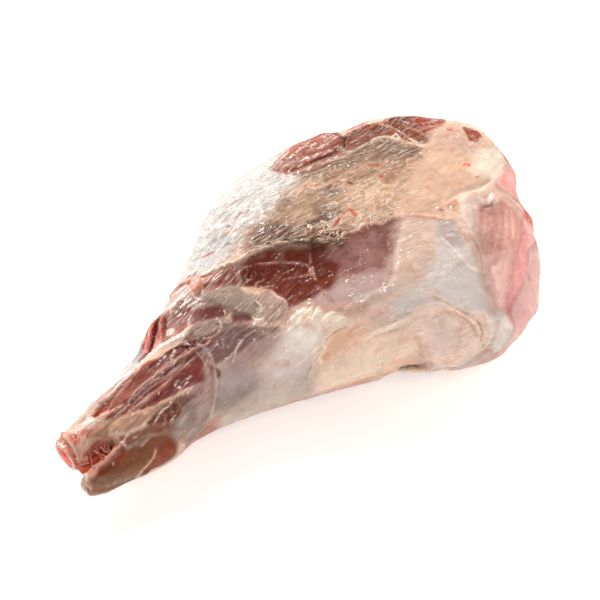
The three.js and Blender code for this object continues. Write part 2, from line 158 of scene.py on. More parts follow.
def raw_lamb():
    """Raw lamb, hung and trimmed. Lean, fat and fascia share one wet skin, so that they run into each
    other as they do on the joint: the colour comes from the leg's own patches, fibres follow the
    grain, and a film of juice gives the small hard glints. Into the colour go painted glints where it
    is wet, painted shade in the fine pitting, and painted light and shade along small folds."""
    material, t = blank("raw_lamb")
    place = node(t, "TexCoord").outputs["Object"]
    flesh, under = (node(t, "Attribute", {"attribute_name": name}).outputs["Color"]
                    for name in ("flesh", "under"))
    grain, tissue, skin = (node(t, "Attribute", {"attribute_name": name}).outputs["Vector"]
                           for name in ("grain", "tissue", "skin"))
    thin = node(t, "Attribute", {"attribute_name": "thin"}).outputs["Fac"]
    lean, fat, combed = node(t, "SeparateXYZ", inputs=[tissue]).outputs
    wet, tooth, pale = node(t, "SeparateXYZ", inputs=[skin]).outputs

    # each pattern's size in mm along and across the fibres, or all ways at once, detail and roughness
    noise = {}
    for name, along, across, detail, rough in (
            ("fibres", 13, 2.0, 2, 0.55), ("threads", 15, 1.3, 3, 0.6), ("bundles", 34, 5.0, 3, 0.55),
            ("wear along", 24, 5.0, 4, 0.68), ("folds", 17, 8, 2, 0.5), ("glint_specks", 2.6, 1.5, 3, 0.6),
            ("runs", 12, 4, 2, 0.55),
            ("combing", 24, None, 2, 0.55), ("mottle", 12, None, 4, 0.55), ("fine", 4.5, None, 3, 0.55),
            ("wear", 17, None, 6, 0.68), ("blush", 8, None, 3, 0.55), ("folded", 15, None, 2, 0.55),
            ("glint_patches", 13, None, 2, 0.55), ("beads", 5.0, None, 2, 0.5)):
        # grain is in mm, place is in metres
        source, size = (grain, (1 / along, 1 / across, 1 / across)) if across else (
            place, (1 / (along * MM),) * 3)
        noise[name] = node(t, "TexNoise", None, {"Vector": node(t, "VectorMath", TIMES, [source, size])},
                           Scale=1.0, Detail=detail, Roughness=rough)
    fibres, bundles, fine = noise["fibres"], noise["bundles"], noise["fine"]

    streak = node(t, "Math", TIMES, [
        combed, node(t, "MapRange", SMOOTH, [noise["combing"], 0.4, 0.58, 0.35, 1.1])])
    worn = node(t, "Math", {**PLUS, **CLAMPED}, [
        node(t, "Math", TIMES, [
            node(t, "MapRange", SMOOTH, [noise["wear along"], 0.38, 0.62, 0, 1]), streak]),
        node(t, "Math", TIMES, [
            node(t, "MapRange", SMOOTH, [noise["wear"], 0.38, 0.62, 0, 1]),
            node(t, "Math", LESS, [1.0, streak])])])
    # colour: two colours to a patch, darker and lighter fibres, pale fibres of fascia over them
    streaks = node(t, "Math", PLUS, [
        node(t, "MapRange", SMOOTH, [fibres, 0.32, 0.68, -1, 1]),
        node(t, "MapRange", SMOOTH, [bundles, 0.32, 0.68, -0.7, 0.7])])
    shade = node(t, "Math", TIMES_PLUS, [
        node(t, "Math", TIMES, [streaks, streak]), 0.1,
        node(t, "MapRange", SMOOTH, [noise["mottle"], 0.3, 0.7, 0.93, 1.07])])
    # darker where the fine noise sinks the bump: painted shade in the pitting, stronger where the skin is
    # rough
    pit_shade = node(t, "Math", TIMES_PLUS, [
        node(t, "MapRange", SMOOTH, [fine, 0.3, 0.7, -0.1, 0.1]), tooth, 1.0])
    shade = node(t, "CombineColor", inputs=[node(t, "Math", TIMES, [shade, pit_shade])] * 3)
    colour = node(t, "Mix", MIXED, {0: node(t, "Math", TIMES, [worn, thin]), 6: flesh, 7: under})
    colour = node(t, "Mix", STAINED, {0: 1.0, 6: colour, 7: shade})
    blush = node(t, "Math", TIMES, [
        node(t, "MapRange", SMOOTH, [noise["blush"], 0.52, 0.68, 0, 1]), 0.4])
    blushed = node(t, "Mix", STAINED, {0: 1.0, 6: colour, 7: paint("#eabfae")})
    colour = node(t, "Mix", MIXED, {0: blush, 6: colour, 7: blushed})
    fibre_share = node(t, "Math", TIMES, [
        node(t, "MapRange", SMOOTH, [noise["threads"], 0.5, 0.66, 0, 1]), pale])
    colour = node(t, "Mix", MIXED, {0: fibre_share, 6: colour, 7: paint("#f4e9de")})
    # small folds in fat and fascia: a lit line with a warm shadow beside it
    slack = node(t, "Math", {**TIMES, **CLAMPED}, [tooth, node(t, "Math", LESS, [1.0, lean])])
    here = node(t, "Math", TIMES, [
        node(t, "MapRange", SMOOTH, [noise["folded"], 0.46, 0.6, 0, 1]), slack])
    lines = []
    for crest in (0.5, 0.54):
        away = node(t, "Math", {"operation": "ABSOLUTE"}, [node(t, "Math", LESS, [noise["folds"], crest])])
        lines.append(node(t, "Math", TIMES, [
            node(t, "MapRange", SMOOTH, [away, 0.0, 0.03, 1, 0]), here]))
    lit, dim = lines
    colour = node(t, "Mix", MIXED, {
        0: node(t, "Math", TIMES, [lit, 0.4]), 6: colour, 7: paint("#fff3e6")})
    warm = node(t, "Mix", STAINED, {0: 1.0, 6: colour, 7: paint("#e3ad93")})
    colour = node(t, "Mix", MIXED, {0: node(t, "Math", TIMES, [dim, 0.3]), 6: colour, 7: warm})
    # white specks where the skin is wet: painted glints of the juice, among a few pale specks of fascia
    glint_specks = node(t, "Math", TIMES, [
        node(t, "MapRange", SMOOTH, [noise["glint_specks"], 0.6, 0.68, 0, 1]),
        node(t, "MapRange", SMOOTH, [noise["glint_patches"], 0.45, 0.55, 0, 0.9])])
    glint_specks = node(t, "Math", TIMES, [glint_specks, node(t, "MapRange", SMOOTH, [wet, 0.45, 1.0, 0.0, 1.0])])
    colour = node(t, "Mix", MIXED, {0: glint_specks, 6: colour, 7: paint("#fbf6f1")})
    # bump: muscle fibres, fat lobules and fine pitting, all soft, as light goes into wet flesh
    lobes = node(t, "TexVoronoi", {"feature": "SMOOTH_F1"}, {"Vector": place}, Scale=1 / (4.5 * MM),
                 Smoothness=0.7).outputs["Distance"]
    relief = node(t, "Math", TIMES, [fibres, node(t, "Math", TIMES_PLUS, [streak, 0.75, 0.05])])
    for form, high in ((node(t, "Math", TIMES, [lobes, fat]), -0.08),
                       (fine, node(t, "Math", TIMES, [tooth, 0.5])),
                       (bundles, node(t, "Math", TIMES, [streak, 0.6])),
                       (fibre_share, 0.3),
                       (node(t, "Math", LESS, [lit, dim]), 0.15)):
        relief = node(t, "Math", TIMES_PLUS, [form, high, relief])
    # juice: it lies in beads and runs, so it shines in small hard glints
    beads = node(t, "Math", TIMES, [noise["beads"], node(t, "Math", TIMES_PLUS, [tooth, 1.2, 0.4])])
    film = node(t, "Math", TIMES_PLUS, [fibres, node(t, "Math", TIMES, [streak, 0.9]), beads])
    runs = node(t, "Math", {**TIMES, **CLAMPED}, [
        node(t, "MapRange", SMOOTH, [noise["runs"], 0.48, 0.54, 0.04, 1]), wet])
    runs = node(t, "Math", {"operation": "MAXIMUM", **CLAMPED}, [
        runs, node(t, "Math", TIMES_PLUS, [wet, 2.0, -2.0])])
    rough = node(t, "Math", TIMES_PLUS, [
        fat, 0.06, node(t, "MapRange", SMOOTH, [fine, 0.3, 0.7, 0.45, 0.6])])
    node(t, "OutputMaterial", Surface=node(
        t, "BsdfPrincipled", Base_Color=colour, Roughness=rough, IOR=1.4,
        Normal=node(t, "Bump", Height=relief, Strength=0.8, Distance=2.2 * MM),
        Specular_IOR_Level=node(t, "Math", TIMES_PLUS, [lean, -0.18, 0.25]),
        Coat_Normal=node(t, "Bump", Height=film, Strength=0.9, Distance=5.5 * MM),
        Coat_Weight=runs, Coat_Roughness=0.09, Coat_IOR=1.5,
        Subsurface_Weight=0.22, Subsurface_Radius=(1.0, 0.4, 0.25), Subsurface_Scale=2.5 * MM))
    return material


def sawn_bone():
    """Fresh shin bone cut with a butcher's saw: hard, pale and pink with blood, finely pitted, hardly
    shiny."""
    material, t = blank("sawn_bone")
    place = node(t, "TexCoord").outputs["Object"]
    flesh = node(t, "Attribute", {"attribute_name": "flesh"}).outputs["Color"]
    grit = node(t, "TexNoise", Vector=place, Scale=1 / (1.2 * MM), Detail=5.0)
    stain = node(t, "TexNoise", Vector=place, Scale=1 / (5 * MM), Detail=3.0)
    blood = node(t, "MapRange", inputs=[stain, 0.45, 0.7, 0.0, 0.55])
    node(t, "OutputMaterial", Surface=node(
        t, "BsdfPrincipled", Roughness=0.45,
        Base_Color=node(t, "Mix", MIXED, {0: blood, 6: flesh, 7: paint("#b5604f")}),
        Normal=node(t, "Bump", Height=grit, Strength=0.7, Distance=0.5 * MM),
        Subsurface_Weight=0.1, Subsurface_Scale=1.5 * MM, Coat_Weight=0.25, Coat_Roughness=0.2))
    return material


def red_marrow():
    """Red marrow: soft spongy fat full of blood, glistening, pink to deep red in small clots."""
    material, t = blank("red_marrow")
    place = node(t, "TexCoord").outputs["Object"]
    clots = node(t, "TexNoise", Vector=place, Scale=1 / (2.6 * MM), Detail=4.0, Roughness=0.6)
    ramp = node(t, "ValToRGB", inputs=[clots])
    for i, (at, code) in enumerate(((0.36, "#b80c0a"), (0.5, "#ea2f27"), (0.66, "#f4705f"))):
        stop = ramp.color_ramp.elements[i] if i < 2 else ramp.color_ramp.elements.new(at)
        stop.position, stop.color = at, paint(code)
    node(t, "OutputMaterial", Surface=node(
        t, "BsdfPrincipled", Base_Color=ramp, Roughness=0.32, Specular_IOR_Level=0.2,
        Normal=node(t, "Bump", Height=clots, Strength=0.8, Distance=0.8 * MM),
        Subsurface_Weight=0.3, Subsurface_Radius=(1.0, 0.3, 0.2), Subsurface_Scale=2.0 * MM,
        Coat_Weight=0.12, Coat_Roughness=0.12))
    return material


def wet_fascia():
    """Strands and shreds of fascia: tough, wet and half clear."""
    material, t = blank("wet_fascia")
    flesh = node(t, "Attribute", {"attribute_name": "flesh"}).outputs["Color"]
    node(t, "OutputMaterial", Surface=node(
        t, "BsdfPrincipled", Base_Color=flesh, Roughness=0.35, Subsurface_Weight=0.3,
        Subsurface_Scale=1.0 * MM, Coat_Weight=0.8, Coat_Roughness=0.12))
    return material


def pale_floor():
    """Frosted white light table, lit a little from below so that shadows stay soft."""
    material, t = blank("light_table")
    node(t, "OutputMaterial", Surface=node(
        t, "BsdfPrincipled", Base_Color=paint("#eeedeb"), Roughness=0.9,
        Emission_Color=paint("#ffffff"), Emission_Strength=0.42))
    return material


# ---- mesh helpers

def corners(mesh):
    co = np.empty(len(mesh.vertices) * 3)
    mesh.vertices.foreach_get("co", co)
    return co.reshape(-1, 3)


def put_corners(mesh, co):
    mesh.vertices.foreach_set("co", co.ravel())
    mesh.update()


def outward(mesh):
    """Which way each corner of a mesh faces."""
    n = np.empty(len(mesh.vertices) * 3, np.float32)
    mesh.vertex_normals.foreach_get("vector", n)
    return n.reshape(-1, 3).astype(float)


def solid_copy(name):
    """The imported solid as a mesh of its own, its loose triangles joined."""
    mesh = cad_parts[name].data.copy()
    mesh.materials.clear()
    bm = bmesh.new()
    bm.from_mesh(mesh)
    bmesh.ops.remove_doubles(bm, verts=bm.verts, dist=1e-6)
    bm.to_mesh(mesh)
    bm.free()
    return mesh


def worked_out(ob):
    """The mesh that an object's modifiers make; the object itself goes."""
    made = bpy.data.meshes.new_from_object(ob.evaluated_get(bpy.context.evaluated_depsgraph_get()))
    bpy.data.objects.remove(ob)
    return made


def within_box(co):
    """Points in mm kept inside the solid's own box, so that relief never makes the part larger."""
    lo, hi = (np.array(c) / MM for c in cad_box)
    return np.clip(co, lo, hi)


def sewn(name, points, faces):
    """A closed mesh from points in mm, its faces turned outwards."""
    mesh = bpy.data.meshes.new(name)
    mesh.from_pydata([tuple(p) for p in points * MM], [], faces)
    bm = bmesh.new()
    bm.from_mesh(mesh)
    bmesh.ops.recalc_face_normals(bm, faces=bm.faces)
    bm.to_mesh(mesh)
    bm.free()
    return mesh


def even_out(mesh, spacing):
    """Voxel remesh: the same shape in even squares."""
    ob = keep(bpy.data.objects.new("even", mesh))
    mod = ob.modifiers.new("even", "REMESH")
    mod.mode, mod.voxel_size, mod.adaptivity = "VOXEL", spacing, 0
    return worked_out(ob)


def relax(mesh, rounds):
    """Takes the facets out without shrinking: each round pulls in, then pushes back."""
    co = corners(mesh)
    ends = np.empty(len(mesh.edges) * 2, np.int32)
    mesh.edges.foreach_get("vertices", ends)
    a, b = ends.reshape(-1, 2).T
    count = np.bincount(a, minlength=len(co)) + np.bincount(b, minlength=len(co))
    count = np.maximum(count, 1)[:, None]
    for _ in range(rounds):
        for pull in (0.5, -0.53):
            total = np.stack([np.bincount(a, co[b, i], len(co)) + np.bincount(b, co[a, i], len(co))
                              for i in range(3)], 1)
            co = co + (total / count - co) * pull
    put_corners(mesh, co)


def finer(mesh, chosen):
    """Divides the edges that chosen(a, b) picks."""
    bm = bmesh.new()
    bm.from_mesh(mesh)
    bm.verts.ensure_lookup_table()
    bm.normal_update()
    picked = [e for e in bm.edges if chosen(e.verts[0], e.verts[1])]
    bmesh.ops.subdivide_edges(bm, edges=picked, cuts=1, use_grid_fill=True)
    bmesh.ops.triangulate(bm, faces=bm.faces[:], quad_method="SHORT_EDGE")
    bm.to_mesh(mesh)
    bm.free()


def store(mesh, name, kind, values):
    """Keeps values by corner on a mesh, for its material to read."""
    layer = mesh.attributes.new(name, kind, "POINT")
    field = {"FLOAT": "value", "FLOAT_VECTOR": "vector", "FLOAT_COLOR": "color"}[kind]
    layer.data.foreach_set(field, np.ascontiguousarray(values, np.float32).ravel())


def dye(mesh, name, colour):
    store(mesh, name, "FLOAT_COLOR", np.column_stack([colour, np.ones(len(colour))]))


def piece(name, mesh, material, slot, *stands_for):
    """A finished piece of the leg, which stands for the solids that it names."""
    mesh.name = name
    mesh.materials.clear()
    mesh.materials.append(material)
    mesh.shade_smooth()
    ob = keep(bpy.data.objects.new(name, mesh))
    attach(ob, "root")
    if stands_for:
        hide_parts(*stands_for)


# ---- noise and curves

def hashed(cell, seed):
    """One number from -1 to 1 for each cell of the noise, scattered by large odd factors."""
    x, y, z = (cell[:, i].astype(np.int64).astype(np.uint32) for i in range(3))
    h = x * np.uint32(374761393) + y * np.uint32(668265263) + z * np.uint32(2246822519)
    h += np.uint32(seed * 97531 % 4294967291)
    h = (h ^ (h >> np.uint32(13))) * np.uint32(1274126177)
    h = (h ^ (h >> np.uint32(15))) * np.uint32(2654435761)
    return ((h ^ (h >> np.uint32(16))) & np.uint32(65535)).astype(float) / 32767.5 - 1


def ripple(points, seed, octaves=3):
    """Smooth noise from -1 to 1 at points given in cells, halving in size each octave."""
    points = np.asarray(points, float)
    if points.shape[1] == 2:
        points = np.column_stack([points, np.zeros(len(points))])
    total, gain, norm = np.zeros(len(points)), 1.0, 0.0
    for octave in range(octaves):
        p = points * 2 ** octave + octave * 17.3
        cell = np.floor(p)
        f = p - cell
        f = f * f * (3 - 2 * f)
        value = 0
        for dx in (0, 1):
            for dy in (0, 1):
                for dz in (0, 1):
                    share = (f[:, 0] if dx else 1 - f[:, 0]) * (f[:, 1] if dy else 1 - f[:, 1]) \
                        * (f[:, 2] if dz else 1 - f[:, 2])
                    value = value + share * hashed(cell + (dx, dy, dz), seed + octave)
        total += value * gain
        norm += gain
        gain *= 0.55
    return total / norm * 1.5


def ease(value, low, high):
    """From 0 at low to 1 at high, with soft ends."""
    t = np.clip((value - low) / (high - low), 0, 1)
    return t * t * (3 - 2 * t)


def rounded(points, steps=4, closed=True):
    """The points joined by one smooth curve, with steps points to each stretch."""
    p = np.asarray(points, float)
    n = len(p)
    out = []
    for i in range(n if closed else n - 1):
        a, b, c, d = (p[(i + k) % n if closed else min(max(i + k, 0), n - 1)] for k in (-1, 0, 1, 2))
        for s in range(steps):
            t = s / steps
            out.append(0.5 * (2 * b + (c - a) * t + (2 * a - 5 * b + 4 * c - d) * t * t
                              + (3 * b - a - 3 * c + d) * t ** 3))
    if not closed:
        out.append(p[-1])
    return np.array(out)


def depth_inside(u, v, outline):
    """How far in mm each point lies inside the outline, negative outside it."""
    ring = rounded(outline)
    best, inside = np.full(len(u), 1e9), np.zeros(len(u), bool)
    for (x0, y0), (x1, y1) in zip(ring, np.roll(ring, -1, 0)):
        dx, dy = x1 - x0, y1 - y0
        t = np.clip(((u - x0) * dx + (v - y0) * dy) / (dx * dx + dy * dy + 1e-9), 0, 1)
        best = np.minimum(best, (u - x0 - t * dx) ** 2 + (v - y0 - t * dy) ** 2)
        if y0 != y1:
            inside ^= ((y0 > v) != (y1 > v)) & (u < dx * (v - y0) / dy + x0)
    return np.where(inside, 1, -1) * np.sqrt(best)


def depth_in_stroke(u, v, route):
    """How far in mm each point lies inside a stroke whose points are (along, around, half width)."""
    line = rounded(route, 4, closed=False)
    best = np.full(len(u), -1e9)
    for (x0, y0, w0), (x1, y1, w1) in zip(line[:-1], line[1:]):
        dx, dy = x1 - x0, y1 - y0
        t = np.clip(((u - x0) * dx + (v - y0) * dy) / (dx * dx + dy * dy + 1e-9), 0, 1)
        away = np.hypot(u - x0 - t * dx, v - y0 - t * dy)
        best = np.maximum(best, w0 + (w1 - w0) * t - away)
    return best


# ---- the chart of the leg

class Chart:
    """Where a point lies on the leg: mm along it from the sawn end to the rump, and mm around it from
    the top line, positive on the near side."""

    STATION, TURN = 10.0, 3.0      # mm between the sections measured, degrees between points round one

    def __init__(self, co):
        self.x = np.arange(-175, 176, self.STATION)
        rows = []
        for x in self.x:
            slab = co[np.abs(co[:, 0] - x) < 8]
            lo, hi = slab.min(0), slab.max(0)
            rows.append([(lo[1] + hi[1]) / 2, max((hi[1] - lo[1]) / 2, 12),
                         (lo[2] + hi[2]) / 2, max((hi[2] - lo[2]) / 2, 12)])
        rows = np.array(rows)
        for _ in range(2):
            rows[1:-1] = (rows[:-2] + 2 * rows[1:-1] + rows[2:]) / 4
        self.rows = rows
        t = np.radians(np.arange(0, 181, self.TURN))
        step = np.hypot(rows[:, 1:2] * np.cos(t), rows[:, 3:4] * np.sin(t))
        part = (step[:, 1:] + step[:, :-1]) / 2 * (t[1] - t[0])
        self.arc = np.concatenate([np.zeros((len(rows), 1)), np.cumsum(part, 1)], 1)

    def of(self, co):
        side, wide, mid, deep = (np.interp(co[:, 0], self.x, self.rows[:, i]) for i in range(4))
        angle = np.arctan2(-(co[:, 1] - side) / wide, (co[:, 2] - mid) / deep)
        i = np.clip((co[:, 0] - self.x[0]) / self.STATION, 0, len(self.x) - 1.001)
        j = np.clip(np.abs(angle) / math.radians(self.TURN), 0, self.arc.shape[1] - 1.001)
        i0, j0 = i.astype(int), j.astype(int)
        fi, fj = i - i0, j - j0
        a = self.arc
        arc = (a[i0, j0] * (1 - fi) * (1 - fj) + a[i0 + 1, j0] * fi * (1 - fj)
               + a[i0, j0 + 1] * (1 - fi) * fj + a[i0 + 1, j0 + 1] * fi * fj)
        return co[:, 0], np.sign(angle) * arc


# ---- the patches of the leg

PLAIN = dict(soft=1, rag=0, rise=0, lean=0, fat=0, grain=0.2, turn=0, vary=0.5, wet=0.8, tooth=0.5, pale=0,
             weight=1)
LAYERS = []


def places(text):
    """Words such as 12,-30 or 12,-30,.5 as points: mm along, mm around and, in a stroke, half its width."""
    return [tuple(map(float, word.split(","))) for word in text.split()]


def patch(name, colours, outline, **finish):
    """An area of one tissue: its colour, the one that mottles it if it has one, and its outline. In the
    finish, soft and rag are the mm of its faded and torn edge, rise is its height in mm, turn is the
    angle of its fibres in degrees, and the rest are shares: lean, fat, grain (how combed the fibres
    are), vary (how mottled), wet (how much juice shines on it, and from about half upwards how many
    white glints are painted into its colour), tooth (how rough, and how deep the painted shade of its
    pitting and small folds), pale (how many pale fibres), weight (of the whole)."""
    colour, *second = colours.split()
    LAYERS.append((name, colour, (second or [colour])[0], places(outline), False, {**PLAIN, **finish}))


def stroke(name, colours, *routes, **finish):
    """Narrow things such as threads, folds and seams. A route may begin with a colour of its own."""
    colour, *second = colours.split()
    for route in routes:
        own, route = route.split(" ", 1) if route[0] == "#" else (colour, route)
        LAYERS.append((name, own, (second or [own])[0], places(route), True, {**PLAIN, **finish}))


# the sides that face down or away
patch("fell down the far side", "#c9b4a3 #a58672", "-78,-42 -50,-52 0,-72 60,-78 110,-82 135,-72 150,-110 "
    "140,-150 100,-170 40,-175 -20,-150 -60,-115 -84,-80", soft=4, rag=5, grain=.9, vary=.7, pale=.5)
patch("far flank muscle", "#8a4335 #a8695d", "10,-76 40,-82 80,-80 115,-74 140,-56 152,-66 146,-90 112,-116 "
    "70,-120 30,-110 8,-95", soft=4, rag=4, lean=.5, grain=.5, vary=.6, wet=.4, tooth=1)
patch("fat of the far rump", "#e2bfa6 #d7a98e", "112,-82 150,-45 168,-20 182,8 182,-280 120,-230 95,-150",
    soft=6, rag=8, fat=.7, grain=.08, vary=.6, wet=.5, tooth=.4)
patch("cut face of the rump end", "#d9a097 #c98a80", "146,52 156,34 170,16 182,12 182,175 150,172 120,152 "
    "108,132 130,100 142,70", soft=5, rag=6, lean=.6, grain=.15, turn=80, vary=.6, wet=.45, tooth=.2)
patch("shin muscle down the far side", "#8d4538 #b07a6b", "-172,-28 -150,-24 -120,-32 -100,-38 -84,-48 "
    "-88,-70 -110,-66 -140,-58 -170,-60", soft=2, rag=2.5, lean=.8, grain=.9, vary=.6, pale=.3)
patch("fascia under the calf", "#b99a8b #a0766a", "-130,58 -95,66 -60,82 -30,98 0,115 -4,160 -60,130 "
    "-110,92 -150,74", soft=6, rag=4, grain=.4, vary=.6)
patch("inner thigh muscle", "#93574b #b0796b", "-20,150 20,165 70,168 100,178 90,200 30,205 -20,180", soft=2,
    rag=4, lean=.8, grain=.7, vary=.6)

# the fell, a papery skin over the thigh
patch("fell over the thigh", "#9d7d66 #c0a08a", "-49,-47 -29,-77 -14,-83 5,-86 37,-92 56,-75 76,-60 105,-48 "
    "105,-19 79,7 65,16 58,13 48,13 36,11 26,6 24,10 10,6 6,9 -16,-8 -31,-13 -44,-16 -59,-21 -68,-23 "
    "-64,-32", soft=3, rag=2, grain=.35, vary=.85, wet=1, tooth=1.6, pale=.3)
# the greyish white of this patch is painted sheen: the glare off the wet fell at the front of the thigh
patch("bright fell on the front of the thigh", "#b8b7b7 #999898", "-65,-55 -62,-57 -55,-61 -46,-65 -31,-75 "
    "-14,-83 -2,-86 5,-86 21,-94 37,-92 46,-87 37,-71 17,-60 0,-45 -14,-37 -23,-27 -37,-26 -53,-31 -62,-41",
    soft=12, rag=5, grain=.8, vary=.6, wet=1.3, tooth=1.6, pale=.7)
patch("grey fascia below the flank", "#6f5847 #83644c", "33,-58 42,-54 56,-54 72,-53 88,-55 101,-52 104,-43 "
    "110,-28 99,-21 84,-28 75,-38 58,-41 44,-43 31,-46", soft=7, rag=2.5, grain=.7, vary=.8, wet=1, tooth=1.6,
    pale=.2)
patch("pink fascia", "#8d5d3c #73492f", "61,-48 72,-43 83,-31 75,-26 60,-29 54,-41", soft=5, rag=3, grain=.8,
    vary=.6, wet=1, pale=.35)
patch("rubbed fell by the rump", "#b6937a #886855", "57,-27 71,-21 91,-19 104,-22 93,-6 78,9 65,14 54,11 "
    "44,8 43,0 43,-13", soft=6, rag=4, vary=.75, wet=.9, tooth=1.6, pale=.3)
patch("tan hollow of the fell", "#846853 #8f7561", "13,-34 24,-33 34,-26 34,-20 27,-12 18,-10 11,-15 7,-23",
    soft=6, rag=2, rise=-.6, grain=.15, vary=.4, wet=.6, tooth=.15, pale=.1)
patch("dark streaky fell above the window", "#50270d #633213", "-10,-28 2,-25 11,-15 13,-6 5,-1 -5,-7 "
    "-14,-13 -22,-19", soft=6, rag=4, grain=1, vary=.7, wet=1, tooth=1.6, pale=.5)
patch("peach fell by the rump", "#ab8b73 #c9a68c", "41,-12 53,-23 74,-25 91,-16 92,-7 75,7 65,13 45,7 37,2",
    soft=6, rag=5, vary=.9, wet=.9, tooth=1.6, pale=.4)
patch("pink fell under the flank", "#856348 #b58e76", "56,-45 77,-38 102,-25 119,-27 112,-16 94,-14 73,-23 "
    "56,-26 46,-34", soft=4, rag=4, vary=.9, wet=.9, tooth=1.6, pale=.3)
patch("grey white fell", "#c5c3c3 #9f9e9e", "-2,-69 19,-74 35,-62 37,-48 22,-41 9,-34 -15,-32 -27,-39 "
    "-26,-53", soft=6, rag=5, grain=1, vary=.9, wet=1, tooth=1.6, pale=.9)
patch("cream middle of the fell", "#83674f #bd9a80", "15,-35 28,-33 40,-21 40,-10 31,-6 17,-12 8,-20", soft=5,
    rag=4, grain=.4, vary=.6, wet=.6, tooth=.9, pale=.2)
patch("bruise on the fell", "#976b53 #a87e6a", "75,-21 79,-21 83,-17 82,-12 76,-11 73,-16", soft=2.5, rag=2,
    vary=.7, wet=1)
patch("dark gap in the fell", "#4a332b #7a5e51", "40,-29 46,-29 49,-23 44,-19 39,-22", soft=3, rag=1.5,
    rise=-.6, weight=.6)
patch("grey shadow in the fell", "#43291b #5f3d2a", "27,-15 34,-12 40,-6 37,-3 29,-7 26,-12", soft=3, rag=2,
    rise=-.7, weight=.6)
patch("dark streak in the fell", "#250d0a #45100d", "16,-11 21,-10 27,-9 34,-7 30,-3 24,-4 18,-3 14,-6",
    soft=1.6, rag=1.5, rise=-.9, vary=.4, weight=.7)
stroke("red fleck", "#a8211a", "28,2,.5 32,0,1 35,-3,.6", "#c2402f 40,-5,.6 43,-5,.9 43,-2,.9 43,1,.5",
    "#a94f42 76,-34,.5 79,-33,.8 82,-31,.5", "#b8604e 34,-38,.4 38,-36,.7 43,-34,.4",
    "#7b3a33 57,-27,1 57,-25,1", "#b4543f -9,-11,.5 -7,-10,.5", "#b8553f -22,-39,.4 -20,-39,.7 -17,-40,.4",
    "#bf6a55 -7,-40,.4 -4,-40,.6", "#c07f6a -5,-54,.4 -1,-54,.5", "#b86551 38,-90,.5 42,-88,.7 45,-85,.5",
    "#b96f5b 29,-90,.4 33,-83,.5", "#b7503c -42,-45,.5 -36,-40,.7", "#b02c28 74,-20,.5 76,-21,.7",
    "#b9705a -16,-40,.3 -8,-43,.5", soft=.7, rise=.2)

# the flank muscles at the far edge
patch("grey fascia over the flank", "#6e513d #795b44", "70,-52 89,-56 103,-54 111,-35 114,-27 104,-25 "
    "89,-34 77,-39 65,-39 55,-44 41,-46 38,-53 53,-51", soft=1.5, rag=1.5, vary=.7, tooth=.3, pale=.4)
patch("front flank muscle", "#7e4030 #a36655", "31,-70 39,-76 53,-82 69,-87 83,-85 92,-87 82,-67 75,-63 "
    "66,-61 52,-61 37,-59 32,-66", rag=1, rise=.6, lean=.4, grain=.5, vary=.7, wet=1, tooth=1.3)
patch("pale side of the flank muscle", "#7d4c40 #94665a", "32,-71 39,-75 45,-73 49,-67 39,-62 33,-65",
    soft=1.5, rag=1.2, grain=.5, vary=.8, wet=1, tooth=1.3)
patch("lower slip of the flank", "#794737 #976856", "36,-59 46,-59 62,-61 74,-61 74,-56 66,-52 55,-52 40,-54",
    soft=.9, rag=1, rise=.4, grain=.6, vary=.8, wet=1, tooth=1.2)
patch("cream cap of the flank", "#cf9e88", "82,-85 91,-91 95,-81 87,-71 82,-70 86,-83", soft=.9, rag=.8,
    fat=.4)
stroke("fold of the flank", "#4c1a12", "38,-61,.3 50,-61,.6 65,-61,.6 76,-62,.4", soft=.7, rise=-.6)
stroke("dark end of the flank muscle", "#4f1d12", "81,-81,.6 82,-74,1.2 81,-67,.8", soft=.8, rise=-.8)
# the near white strokes on the bundles of the flank muscle are painted glints
stroke("glossy bundle of the flank", "#ecd6cb", "37,-73,.2 44,-75,.4 49,-77,.3",
    "52,-74,.2 55,-75,.5 59,-76,.2", "36,-67,.2 41,-67,.4 44,-67,.2", "48,-65,.2 52,-66,.5 55,-66,.2",
    "44,-62,.2 47,-62,.4", "56,-64,.2 60,-65,.4 63,-64,.2", "62,-75,.2 67,-76,.4",
    "60,-56,.2 63,-56,.3 68,-55,.2", "46,-72,.2 49,-73,.3", soft=.5, rise=.6)
patch("back flank muscle", "#5b2210 #7b3b1d", "77,-63 88,-74 98,-79 106,-75 115,-69 124,-67 155,-45 140,-30 "
    "127,-29 118,-30 112,-36 109,-44 104,-56 90,-57 78,-57", soft=.9, rag=1, lean=.6, grain=1, vary=.8,
    wet=.7, pale=.25)
patch("bright back of the flank", "#7d2f1c #a04a30", "134,-57 155,-45 143,-33 131,-35 130,-45", soft=1.5,
    rag=1.5, lean=.5, vary=.6)
stroke("membrane between the flank muscles", "#4c1e15", "78,-63,.4 86,-72,.8 92,-77,.4", soft=.6, rise=-1.4)
stroke("slip over the flank", "#c99a82", "112,-66,.3 115,-60,.5 115,-48,.5 113,-32,.4",
    "#b98468 113,-58,.3 111,-48,.5 110,-37,.4", "#a8583c 101,-71,.3 109,-69,.4 117,-64,.3",
    "#c08a6c 121,-54,.3 124,-44,.5 125,-32,.4", "#b0705c 83,-63,.2 92,-65,.4 102,-64,.3",
    "#f0dccb 106,-50,.2 111,-50,.5 109,-45,.2", "#f0dccb 115,-40,.2 115,-34,.5 119,-32,.2",
    "#e9c9b4 125,-59,.2 127,-54,.5", soft=.5, rise=.6)
stroke("third pale slip over the flank", "#a56a55", "122,-57,.4 125,-47,.7 127,-34,.5", soft=.6, rise=.5)
stroke("edge of the fascia", "#d2b9a5", "33,-58,.5 42,-56,.7 47,-56,.6 54,-57,.6 61,-52,.7 72,-53,.6 "
    "88,-55,.7 102,-53,.7 105,-44,.6 111,-29,.5", soft=.6, rag=.8, rise=.9, weight=.5)

